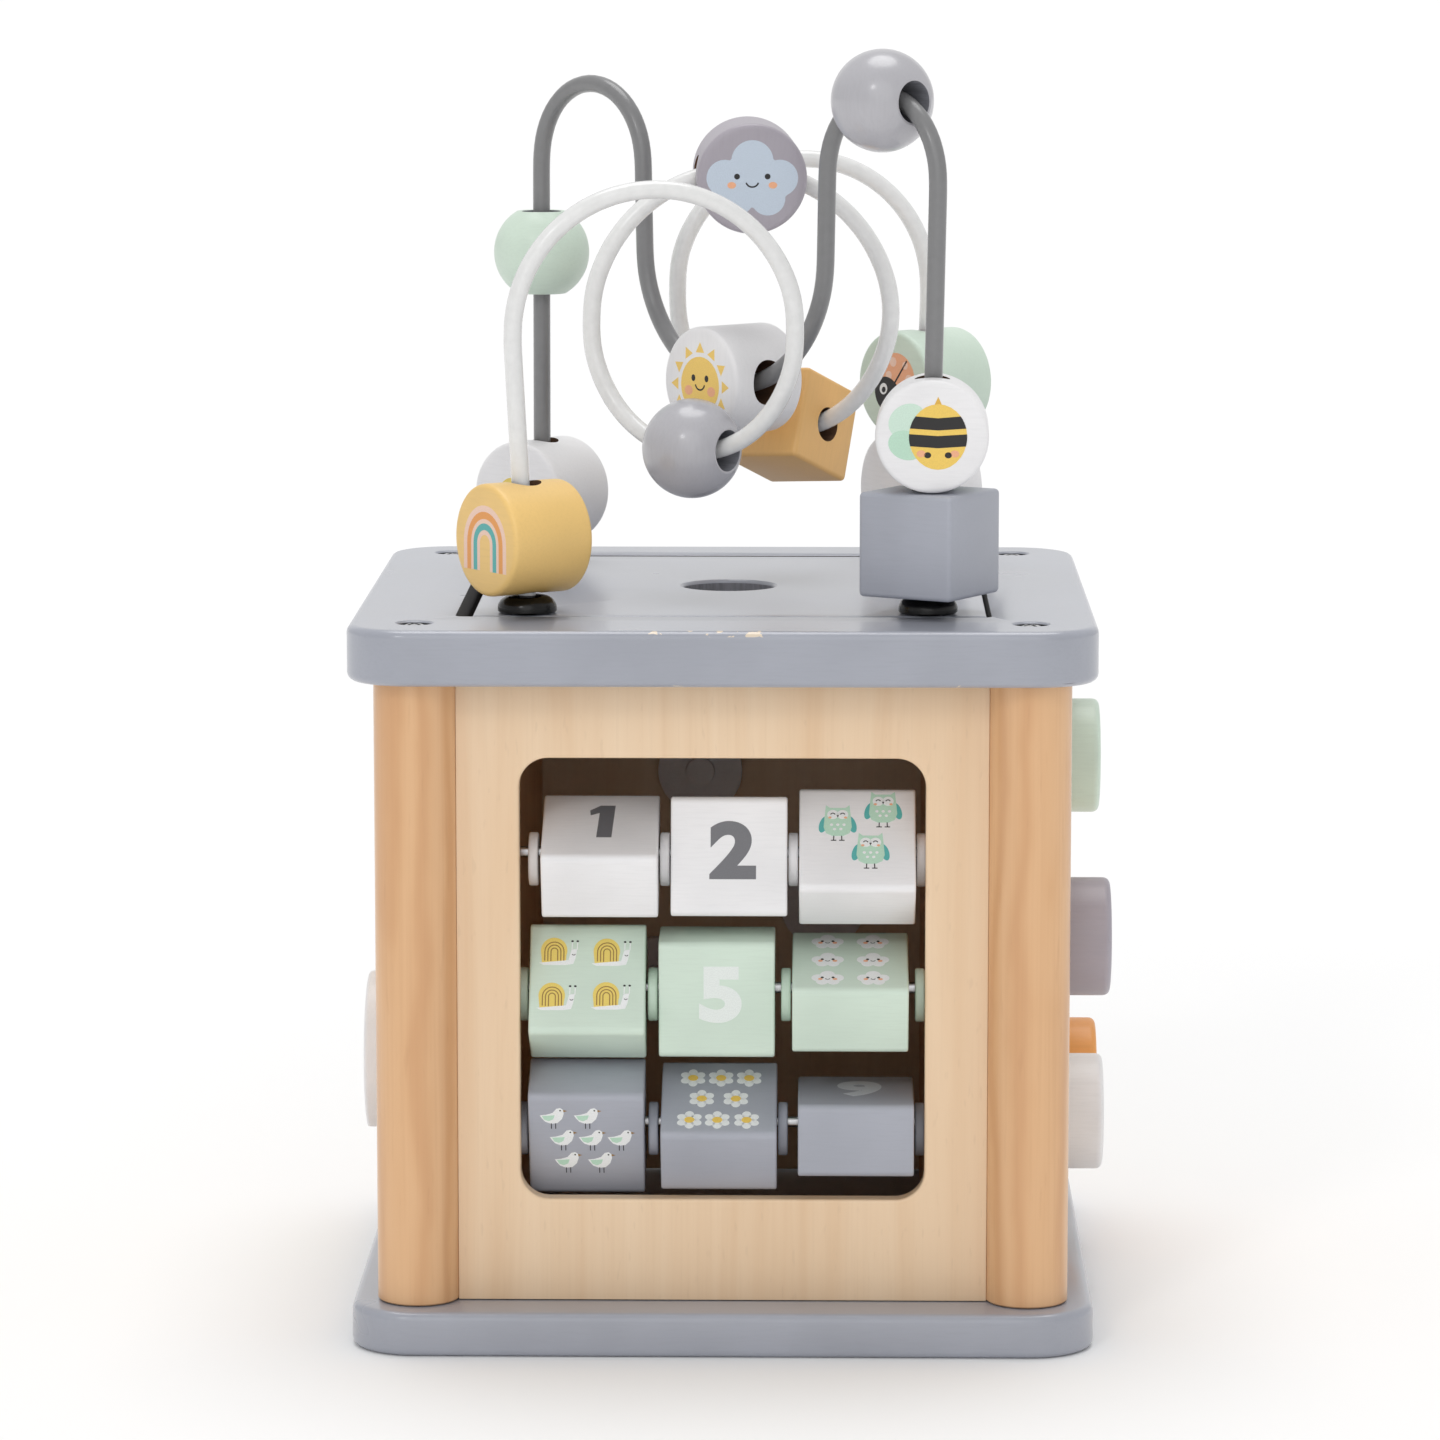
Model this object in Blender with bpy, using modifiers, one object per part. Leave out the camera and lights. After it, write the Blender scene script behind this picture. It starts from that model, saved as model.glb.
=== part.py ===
"""Wooden toddler activity cube with a bead maze on its lift-off lid.

Frame: +Z up, +Y towards the back, origin at the middle of the base's underside. Metres.
A base plate and an open top plate are held apart by four dowel posts. Between the posts sit a
window panel with nine turning number blocks, a panel with four sliding knobs, a panel with
three meshed gears and a panel with four shape blocks. The lid drops into the top plate and
carries two bent wires with twelve beads.
"""

import math

import bmesh
import bpy
from mathutils import Matrix, Vector

GAP = 0.0003  # left between pieces that touch

# Body
PLATE_WIDTH = 0.200
PLATE_CORNER = 0.0174
PLATE_EDGE = 0.0022
BASE_THICKNESS = 0.012
TOP_THICKNESS = 0.015
BODY_HEIGHT = 0.196
POST_RADIUS = 0.0111
POST_OFFSET = 0.082
PANEL_THICKNESS = 0.006
PANEL_OUTER_FACE = 0.0845
PANEL_HALF_WIDTH = POST_OFFSET - POST_RADIUS - GAP
SCREW_RECESS_RADIUS = 0.0050
SCREW_RECESS_DEPTH = 0.0040

POST_BOTTOM = BASE_THICKNESS + GAP
POST_TOP = BODY_HEIGHT - TOP_THICKNESS - GAP
PANEL_INNER_FACE = PANEL_OUTER_FACE - PANEL_THICKNESS

# Lid, its opening and the ring that it rests on
OPENING_HALF_X = 0.0720
OPENING_HALF_Y = 0.0715
OPENING_CENTRE_Y = 0.0030
LID_HALF_X = 0.0691
LID_HALF_Y = 0.0700
LID_CENTRE_X = 0.0016
LEDGE_WIDTH_INSIDE = 0.0620
LEDGE_THICKNESS = 0.0065
LEDGE_CORNER = 0.016  # clears the posts
FINGER_HOLE_RADIUS = 0.0128
FINGER_HOLE_X = 0.0004

# Window, inner walls and rods
WINDOW_HALF_WIDTH = 0.0543
WINDOW_BOTTOM = 0.040
WINDOW_TOP = 0.160
WINDOW_CORNER = 0.0078
WALL_INNER_FACE = 0.0556
WALL_THICKNESS = 0.006
ROD_RADIUS = 0.0015
ROD_Y = -0.070
ROD_HEIGHTS = {"upper": 0.1324, "middle": 0.0954, "lower": 0.0584}
ROD_END_INSET = 0.0006
SPACER_RADIUS = 0.0072
SPACER_THICKNESS = 0.0026
SPACER_SAG = 0.0020
SPACER_X = {
    "upper": (-0.0510, -0.0156, 0.0189, 0.0533),
    "middle": (-0.0538, -0.0189, 0.0170, 0.0531),
    "lower": (-0.0540, -0.0188, 0.0162, 0.0532),
}

# Number blocks: name, rod, centre along the rod, angle of the decorated face above the front
TILE_HEIGHT = 0.0320
TILE_THICKNESS = 0.0200
TILE_LENGTH = 0.0312
TILE_EDGE = 0.0020
TILE_HOLE_RADIUS = 0.0030
TILE_SAG = 0.0012
TILES = (
    ("number_block_1", "upper", -0.0329, 66.2),
    ("number_block_2", "upper", 0.0017, 9.4),
    ("number_block_3", "upper", 0.0361, 39.8),
    ("number_block_4", "middle", -0.0364, 32.0),
    ("number_block_5", "middle", -0.0016, -4.0),
    ("number_block_6", "middle", 0.0343, 70.0),
    ("number_block_7", "lower", -0.0367, -21.5),
    ("number_block_8", "lower", -0.0010, 62.4),
    ("number_block_9", "lower", 0.0359, 86.6),
)
ROD_COLOURS = {"upper": "white", "middle": "mint", "lower": "grey"}

# Wires: feet in the lid, places where the wire stands upright, and each bend's height
WIRE_RADIUS = 0.00245
WIRE_FOOT = 0.184
BEND_STEPS = 10
WHITE_FEET = ((-0.0530, -0.060), (0.0545, 0.060))
WHITE_UPRIGHTS = (
    (-0.0568, -0.060),
    (0.0195, -0.047),
    (-0.0380, -0.007),
    (0.0460, 0.006),
    (-0.0155, 0.049),
    (0.0570, 0.060),
)
WHITE_BEND_HEIGHTS = (0.2710, 0.2713, 0.2697, 0.2751, 0.2760)
GREY_FEET = ((-0.0545, 0.060), (0.0550, -0.060))
GREY_UPRIGHTS = ((-0.0543, 0.060), (-0.0240, 0.0280), (0.0275, -0.0280), (0.0572, -0.060))
GREY_BEND_HEIGHTS = (0.3126, 0.2905, 0.3130)
BEND_REACH = 80
COLLAR_RADIUS = 0.0080
COLLAR_HEIGHT = 0.0046
COLLAR_TOP = BODY_HEIGHT + GAP + COLLAR_HEIGHT

# Beads
DRUM_RADIUS = 0.0152
PLAIN_DRUM_RADIUS = 0.0158
DRUM_THICKNESS = 0.0250
CUBE_SIDE = 0.0282
YELLOW_CUBE_SIDE = 0.0260
BEAD_HOLE_RADIUS = 0.0048
SUN_HOLE_RADIUS = 0.0062
BEAD_EDGE = 0.0012
BALL_HOLE_RADIUS = 0.0055
CLOUD_TURN = -4.5
MINT_BALL_HEIGHT = 0.2855
MINT_BALL_RADIUS, MINT_BALL_HALF_LENGTH = 0.0137, 0.0118
LOWER_BALL_RADIUS, LOWER_BALL_HALF_LENGTH = 0.0137, 0.0122
TOP_BALL_RADIUS, TOP_BALL_HALF_LENGTH = 0.0139, 0.0124
FOOT_DRUM_HEIGHT = COLLAR_TOP + GAP + DRUM_RADIUS
PLAIN_DRUM_HEIGHT = COLLAR_TOP + GAP + PLAIN_DRUM_RADIUS
FOOT_CUBE_HEIGHT = COLLAR_TOP + GAP + CUBE_SIDE / 2

# Knobs that slide in the right panel's slots: name, colour, y, z, slot direction, slot ends
SLOT_HALF_WIDTH = 0.0042
KNOB_RADIUS = 0.0162
KNOB_OUTER_FACE = 0.1055
KNOB_INNER_FACE = 0.0880
KNOB_NECK_RADIUS = 0.0038
KNOB_FOOT_RADIUS = 0.0080
KNOB_FOOT_THICKNESS = 0.0040
KNOBS = (
    ("slider_knob_green", "mint", 0.030, 0.1441, "y", -0.045, 0.045),
    ("slider_knob_grey", "grey", -0.043, 0.1048, "z", 0.046, 0.110),
    ("slider_knob_white", "white", -0.008, 0.0486, "z", 0.046, 0.110),
    ("slider_knob_orange", "orange", 0.036, 0.0503, "z", 0.046, 0.110),
)

# Gears on the back panel, the middle one meshing with both others
GEAR_TEETH = 12
GEAR_PITCH_RADIUS = 0.027
GEAR_ADDENDUM = 0.0037
GEAR_DEDENDUM = 0.0045
GEAR_PRESSURE_ANGLE = math.radians(25)
GEAR_BACKLASH = 0.0010
GEAR_THICKNESS = 0.010
GEAR_BORE_RADIUS = 0.0056
GEAR_MIDDLE = (0.027, 0.0923)
GEAR_DIRECTIONS = {"gear_upper": math.radians(132), "gear_lower": math.radians(204)}
PEG_RADIUS = 0.0050
PEG_HEAD_RADIUS = 0.0110
PEG_HEAD_THICKNESS = 0.0030
PEG_FOOT_RADIUS = 0.01235
PEG_FOOT_THICKNESS = 0.0040
PEG_BOSS_RADIUS = 0.0042
PEG_BOSS_HEIGHT = 0.0020

# Shape blocks in the left panel: name, colour, y, z, how far the outer end stands at
SHAPE_LENGTH = 0.030
SHAPE_CLEARANCE = 0.0006
SHAPE_PUSHED_IN = 0.0922
SHAPE_PULLED_OUT = 0.0989
ROUND_SHAPE_RADIUS = 0.0220
ROUND_SHAPE_FLAT = 0.0196
SHAPES = (
    ("shape_block_round", "white", -0.031, 0.070, SHAPE_PULLED_OUT),
    ("shape_block_square", "mint", 0.031, 0.070, SHAPE_PUSHED_IN),
    ("shape_block_triangle", "yellow", -0.031, 0.128, SHAPE_PUSHED_IN),
    ("shape_block_hexagon", "grey", 0.031, 0.128, SHAPE_PUSHED_IN),
)
SHAPE_SIDES = {"square": (4, 0.0255), "triangle": (3, 0.0250), "hexagon": (6, 0.0215)}

COLOURS = {
    "grey_paint": ((0.42, 0.45, 0.48), 0.45, 0.0),
    "birch": ((0.80, 0.62, 0.40), 0.55, 0.0),
    "beech": ((0.66, 0.41, 0.22), 0.50, 0.0),
    "white": ((0.82, 0.81, 0.79), 0.40, 0.0),
    "mint": ((0.55, 0.75, 0.60), 0.45, 0.0),
    "grey": ((0.38, 0.39, 0.42), 0.45, 0.0),
    "orange": ((0.80, 0.42, 0.20), 0.45, 0.0),
    "yellow": ((0.88, 0.62, 0.22), 0.45, 0.0),
    "wire_white": ((0.80, 0.80, 0.78), 0.25, 0.0),
    "wire_grey": ((0.20, 0.20, 0.20), 0.30, 0.0),
    "black": ((0.02, 0.02, 0.02), 0.20, 0.0),
    "steel": ((0.60, 0.60, 0.60), 0.25, 1.0),
}

UP = Vector((0, 0, 1))


# ---------------------------------------------------------------- scene helpers


def clear_scene():
    for obj in list(bpy.data.objects):
        bpy.data.objects.remove(obj, do_unlink=True)


def new_collection(name):
    collection = bpy.data.collections.new(name)
    bpy.context.scene.collection.children.link(collection)
    return collection


def material(key, name):
    colour, roughness, metallic = COLOURS[key]
    made = bpy.data.materials.new(name)
    made.use_nodes = True
    shader = made.node_tree.nodes["Principled BSDF"]
    shader.inputs["Base Color"].default_value = (*colour, 1)
    shader.inputs["Roughness"].default_value = roughness
    shader.inputs["Metallic"].default_value = metallic
    made.diffuse_color = (*colour, 1)
    return made


def link_part(obj, colour, matrix=None, parent=None):
    """Gives a new object its material and its place in the world, under its parent if it has one."""
    obj.data.materials.append(material(colour, obj.name))
    PARTS.objects.link(obj)
    bpy.context.view_layer.update()
    if parent:
        obj.parent = parent
        obj.matrix_parent_inverse = parent.matrix_world.inverted()
    obj.matrix_world = matrix or Matrix()
    return obj


def add_part(name, mesh, colour, matrix=None, parent=None):
    return link_part(bpy.data.objects.new(name, mesh), colour, matrix, parent)


def add_empty(name, location, parent=None):
    empty = bpy.data.objects.new(name, None)
    empty.empty_display_size = 0.01
    PARTS.objects.link(empty)
    if parent:
        empty.parent = parent
        empty.matrix_parent_inverse = parent.matrix_world.inverted()
    empty.matrix_world = Matrix.Translation(location)
    bpy.context.view_layer.update()
    return empty


def mesh_from(bm, name, smooth_angle=None):
    bmesh.ops.recalc_face_normals(bm, faces=bm.faces)
    mesh = bpy.data.meshes.new(name)
    bm.to_mesh(mesh)
    bm.free()
    if smooth_angle:
        mesh.shade_smooth()
        mesh.set_sharp_from_angle(angle=math.radians(smooth_angle))
    return mesh


def round_edges(obj, width, segments=2):
    bevel = obj.modifiers.new("Round edges", "BEVEL")
    bevel.width = width
    bevel.segments = segments
    bevel.limit_method = "ANGLE"
    bevel.angle_limit = math.radians(40)
    return bevel


def cut(obj, cutter):
    boolean = obj.modifiers.new("Cut " + cutter.name, "BOOLEAN")
    boolean.operation = "DIFFERENCE"
    boolean.solver = "EXACT"
    boolean.object = cutter


def join(obj, other):
    boolean = obj.modifiers.new("Join " + other.name, "BOOLEAN")
    boolean.operation = "UNION"
    boolean.solver = "EXACT"
    boolean.object = other


def add_helper(name, mesh, matrix, parent=None):
    """A cutter, or a shape that a Boolean joins to a part."""
    helper = bpy.data.objects.new(name, mesh)
    helper.hide_render = True
    helper.display_type = "WIRE"
    CUTTERS.objects.link(helper)
    bpy.context.view_layer.update()
    if parent:
        helper.parent = parent
        helper.matrix_parent_inverse = parent.matrix_world.inverted()
    helper.matrix_world = matrix
    return helper


# ---------------------------------------------------------------- shapes


def slab_mesh(name, size, corner=0.0, corner_segments=4):
    """A box of this size, centred, with its edges along Z rounded to the corner radius."""
    bm = bmesh.new()
    bmesh.ops.create_cube(bm, size=1.0)
    bmesh.ops.scale(bm, vec=size, verts=bm.verts)
    if corner:
        upright = [e for e in bm.edges if abs(e.verts[0].co.z - e.verts[1].co.z) > size[2] / 2]
        bmesh.ops.bevel(
            bm, geom=upright, offset=corner, segments=corner_segments, profile=0.5, affect="EDGES"
        )
    return mesh_from(bm, name)


def round_mesh(name, radius, length, sides=20):
    """A cylinder along Z, centred."""
    bm = bmesh.new()
    bmesh.ops.create_cone(
        bm, cap_ends=True, segments=sides, radius1=radius, radius2=radius, depth=length
    )
    return mesh_from(bm, name, smooth_angle=40)


def add_turned(name, profile, colour, matrix, parent=None, steps=16):
    """A closed profile of (radius, height) points turned about Z, listed down its outer side."""
    mesh = bpy.data.meshes.new(name)
    count = len(profile)
    edges = [(i, (i + 1) % count) for i in range(count)]
    mesh.from_pydata([(radius, 0, height) for radius, height in profile], edges, [])
    obj = add_part(name, mesh, colour, matrix, parent)
    screw = obj.modifiers.new("Turn", "SCREW")
    screw.axis = "Z"
    screw.steps = steps
    screw.render_steps = steps
    screw.use_merge_vertices = True
    screw.merge_threshold = 0.00001
    screw.use_smooth_shade = True
    return obj


def along(direction):
    """A rotation that turns local Z to this axis letter."""
    turns = {
        "x": Matrix.Rotation(math.radians(90), 4, "Y"),
        "y": Matrix.Rotation(math.radians(-90), 4, "X"),
        "z": Matrix(),
    }
    return turns[direction]


def at(x, y, z, direction="z"):
    return Matrix.Translation((x, y, z)) @ along(direction)


# ---------------------------------------------------------------- body


def build_plates():
    base = add_part(
        "base_plate",
        slab_mesh("base_plate", (PLATE_WIDTH, PLATE_WIDTH, BASE_THICKNESS), PLATE_CORNER),
        "grey_paint",
        at(0, 0, BASE_THICKNESS / 2),
    )
    round_edges(base, PLATE_EDGE)
    top_middle = BODY_HEIGHT - TOP_THICKNESS / 2
    frame = add_part(
        "top_frame",
        slab_mesh("top_frame", (PLATE_WIDTH, PLATE_WIDTH, TOP_THICKNESS), PLATE_CORNER),
        "grey_paint",
        at(0, 0, top_middle),
    )
    round_edges(frame, PLATE_EDGE)
    opening = slab_mesh(
        "lid_opening", (2 * OPENING_HALF_X, 2 * OPENING_HALF_Y, 2 * TOP_THICKNESS), 0.002, 2
    )
    cut(frame, add_helper("lid_opening", opening, at(0, OPENING_CENTRE_Y, top_middle)))
    for x in (-POST_OFFSET, POST_OFFSET):
        for y in (-POST_OFFSET, POST_OFFSET):
            recess = round_mesh("screw_recess", SCREW_RECESS_RADIUS, 2 * SCREW_RECESS_DEPTH, 10)
            cut(frame, add_helper("screw_recess", recess, at(x, y, BODY_HEIGHT)))


def build_posts():
    for side, x in (("left", -POST_OFFSET), ("right", POST_OFFSET)):
        for end, y in (("front", -POST_OFFSET), ("back", POST_OFFSET)):
            name = f"post_{end}_{side}"
            mesh = round_mesh(name, POST_RADIUS, POST_TOP - POST_BOTTOM)
            add_part(name, mesh, "beech", at(x, y, (POST_TOP + POST_BOTTOM) / 2))


def panel(name, direction, sign):
    """A panel between two posts, facing out along the sign of this axis."""
    middle = sign * (PANEL_OUTER_FACE - PANEL_THICKNESS / 2)
    height = POST_TOP - POST_BOTTOM
    if direction == "y":
        size = (2 * PANEL_HALF_WIDTH, PANEL_THICKNESS, height)
        place = at(0, middle, (POST_TOP + POST_BOTTOM) / 2)
    else:
        size = (PANEL_THICKNESS, 2 * PANEL_HALF_WIDTH, height)
        place = at(middle, 0, (POST_TOP + POST_BOTTOM) / 2)
    return add_part(name, slab_mesh(name, size), "birch", place)


def build_front_panel():
    front = panel("front_panel", "y", -1)
    size = (2 * WINDOW_HALF_WIDTH, WINDOW_TOP - WINDOW_BOTTOM, 4 * PANEL_THICKNESS)
    window = slab_mesh("window", size, WINDOW_CORNER, 5)
    place = at(0, -PANEL_OUTER_FACE, (WINDOW_TOP + WINDOW_BOTTOM) / 2, "y")
    cut(front, add_helper("window", window, place))


def build_inner_walls():
    """Boards from front to back, whose drilled front edges hold the rods."""
    bottom = POST_BOTTOM
    top = POST_TOP - LEDGE_THICKNESS - GAP
    depth = 2 * (PANEL_INNER_FACE - GAP)
    for side, sign in (("left", -1), ("right", 1)):
        name = f"inner_wall_{side}"
        middle = sign * (WALL_INNER_FACE + WALL_THICKNESS / 2)
        mesh = slab_mesh(name, (WALL_THICKNESS, depth, top - bottom))
        wall = add_part(name, mesh, "birch", at(middle, 0, (top + bottom) / 2))
        for height in ROD_HEIGHTS.values():
            hole = round_mesh("rod_hole", ROD_RADIUS + GAP, 3 * WALL_THICKNESS, 8)
            cut(wall, add_helper("rod_hole", hole, at(middle, ROD_Y, height, "x")))


def build_rods():
    """Steel rods, each with the four loose discs that hang on it between the blocks."""
    length = 2 * (WALL_INNER_FACE + WALL_THICKNESS - ROD_END_INSET)
    for row, height in ROD_HEIGHTS.items():
        name = f"axle_rod_{row}"
        rod = add_part(
            name, round_mesh(name, ROD_RADIUS, length, 8), "steel", at(0, ROD_Y, height, "x")
        )
        for x in SPACER_X[row]:
            disc = round_mesh("spacer_disc", SPACER_RADIUS, SPACER_THICKNESS, 12)
            place = at(x, ROD_Y, height - SPACER_SAG, "x")
            join(rod, add_helper("spacer_disc", disc, place))


def build_number_blocks():
    """Thick tiles, drilled from side to side, that hang on the rods; local X stands up."""
    size = (TILE_HEIGHT, TILE_THICKNESS, TILE_LENGTH)
    for name, row, x, tilt in TILES:
        centre = Matrix.Translation((x, ROD_Y, ROD_HEIGHTS[row] - TILE_SAG))
        place = centre @ Matrix.Rotation(math.radians(-tilt), 4, "X") @ along("x")
        mesh = slab_mesh(name, size, TILE_EDGE, 3)
        tile = add_part(name, mesh, ROD_COLOURS[row], place)
        hole = round_mesh("tile_hole", TILE_HOLE_RADIUS, 2 * TILE_LENGTH, 10)
        cut(tile, add_helper("tile_hole", hole, place, tile))
        round_edges(tile, 0.0005, 1).angle_limit = math.radians(60)


# ---------------------------------------------------------------- lid and bead maze


class Bend:
    """A half circle of wire between two upright stretches, over the top or under."""

    def __init__(self, start, end, height, over):
        start = Vector((*start, height))
        end = Vector((*end, height))
        self.centre = (start + end) / 2
        self.radius = (end - start).length / 2
        self.heading = (end - start).normalized()
        self.up = UP if over else -UP

    def point(self, angle):
        """The wire's centre this far past the bend's middle, in radians."""
        offset = self.heading * math.sin(angle) + self.up * math.cos(angle)
        return self.centre + self.radius * offset

    def tangent(self, angle):
        return self.heading * math.cos(angle) - self.up * math.sin(angle)


def bends_of(uprights, heights):
    return [
        Bend(uprights[i], uprights[i + 1], height, over=i % 2 == 0)
        for i, height in enumerate(heights)
    ]


def legs_of(feet, uprights, heights):
    """The straight stretches from the collars to the first and the last bend, as pairs of ends."""
    first = Vector((*feet[0], COLLAR_TOP)), Vector((*uprights[0], heights[0]))
    last = Vector((*feet[1], COLLAR_TOP)), Vector((*uprights[-1], heights[-1]))
    return first, last


def wire_points(feet, bends):
    """Each bend stops short of upright, so that the next one can start higher or lower."""
    points = [Vector((*feet[0], WIRE_FOOT)), Vector((*feet[0], COLLAR_TOP))]
    points.append(bends[0].point(math.radians(-90)))
    for bend in bends:
        for step in range(BEND_STEPS + 1):
            turned = -BEND_REACH + 2 * BEND_REACH * step / BEND_STEPS
            points.append(bend.point(math.radians(turned)))
    points.append(bends[-1].point(math.radians(90)))
    return [*points, Vector((*feet[1], COLLAR_TOP)), Vector((*feet[1], WIRE_FOOT))]


def add_wire(name, colour, points, parent):
    curve = bpy.data.curves.new(name, "CURVE")
    curve.dimensions = "3D"
    curve.bevel_depth = WIRE_RADIUS
    curve.bevel_resolution = 2
    curve.use_fill_caps = True
    spline = curve.splines.new("POLY")
    spline.points.add(len(points) - 1)
    for spline_point, point in zip(spline.points, points):
        spline_point.co = (*point, 1)
    spline.use_smooth = True
    return link_part(bpy.data.objects.new(name, curve), colour, None, parent)


def build_lid():
    lid = add_empty("lid_lift", (0, 0, BODY_HEIGHT))
    middle = BODY_HEIGHT - TOP_THICKNESS / 2
    size = (2 * LID_HALF_X, 2 * LID_HALF_Y, TOP_THICKNESS)
    board = add_part(
        "lid_board",
        slab_mesh("lid_board", size, 0.0015, 2),
        "grey_paint",
        at(LID_CENTRE_X, OPENING_CENTRE_Y, middle),
        lid,
    )
    hole = round_mesh("finger_hole", FINGER_HOLE_RADIUS, 3 * TOP_THICKNESS, 24)
    place = at(FINGER_HOLE_X, OPENING_CENTRE_Y, middle)
    cut(board, add_helper("finger_hole", hole, place, lid))
    for x, y in (*WHITE_FEET, *GREY_FEET):
        drilled = round_mesh("wire_hole", WIRE_RADIUS + GAP, 3 * TOP_THICKNESS, 8)
        cut(board, add_helper("wire_hole", drilled, at(x, y, BODY_HEIGHT), lid))
        build_collar(x, y, lid)

    inside = 2 * LEDGE_WIDTH_INSIDE
    outside = 2 * (PANEL_INNER_FACE - GAP)
    height = POST_TOP - LEDGE_THICKNESS / 2
    ring = add_part(
        "lid_ledge",
        slab_mesh("lid_ledge", (outside, outside, LEDGE_THICKNESS), LEDGE_CORNER),
        "birch",
        at(0, 0, height),
    )
    void = slab_mesh("ledge_opening", (inside, inside, 4 * LEDGE_THICKNESS))
    cut(ring, add_helper("ledge_opening", void, at(0, OPENING_CENTRE_Y, height)))
    return lid


def build_collar(x, y, lid):
    bore = WIRE_RADIUS + 2 * GAP
    dome_steps = 3
    profile = [(bore, COLLAR_HEIGHT)]
    for step in range(dome_steps + 1):
        angle = math.radians(90 * step / dome_steps)
        radius = COLLAR_RADIUS * 0.55 + COLLAR_RADIUS * 0.45 * math.sin(angle)
        profile.append((radius, COLLAR_HEIGHT * (0.35 + 0.65 * math.cos(angle))))
    profile += [(COLLAR_RADIUS, 0), (bore, 0)]
    side = "left" if x < 0 else "right"
    end = "front" if y < 0 else "back"
    place = at(x, y, BODY_HEIGHT + GAP)
    add_turned(f"wire_collar_{end}_{side}", profile, "black", place, lid, 12)


def bead_matrix(point, tangent, facing):
    """A bead's place: its hole along the wire, its decorated face towards the facing direction."""
    axis = tangent.normalized()
    facing = Vector(facing)
    back = -(facing - axis * facing.dot(axis)).normalized()
    across = back.cross(axis)
    turn = Matrix((across, back, axis)).transposed().to_4x4()
    return Matrix.Translation(point) @ turn


def drill_bead(bead, matrix, parent, radius=BEAD_HOLE_RADIUS):
    hole = round_mesh("bead_hole", radius, 0.06, 12)
    cut(bead, add_helper("bead_hole", hole, matrix, parent))


def add_drum(name, colour, matrix, parent, radius=DRUM_RADIUS, hole=BEAD_HOLE_RADIUS):
    """A short cylinder drilled through its curved side; local -Y is its decorated face."""
    mesh = round_mesh(name, radius, DRUM_THICKNESS, 20)
    mesh.transform(along("y"))
    bead = add_part(name, mesh, colour, matrix, parent)
    round_edges(bead, BEAD_EDGE, 1)
    drill_bead(bead, matrix, parent, hole)


def add_cube(name, colour, side, matrix, parent):
    bead = add_part(name, slab_mesh(name, (side,) * 3), colour, matrix, parent)
    round_edges(bead, BEAD_EDGE, 1)
    drill_bead(bead, matrix, parent)


def add_ball(name, colour, radius, half_length, matrix, parent):
    """A ball turned about its hole, flattened at this distance from the middle."""
    rim = math.asin(half_length / radius)
    steps = 6
    profile = [(BALL_HOLE_RADIUS, half_length)]
    for step in range(steps + 1):
        angle = rim - 2 * rim * step / steps
        profile.append((radius * math.cos(angle), radius * math.sin(angle)))
    profile.append((BALL_HOLE_RADIUS, -half_length))
    add_turned(name, profile, colour, matrix, parent)


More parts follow.
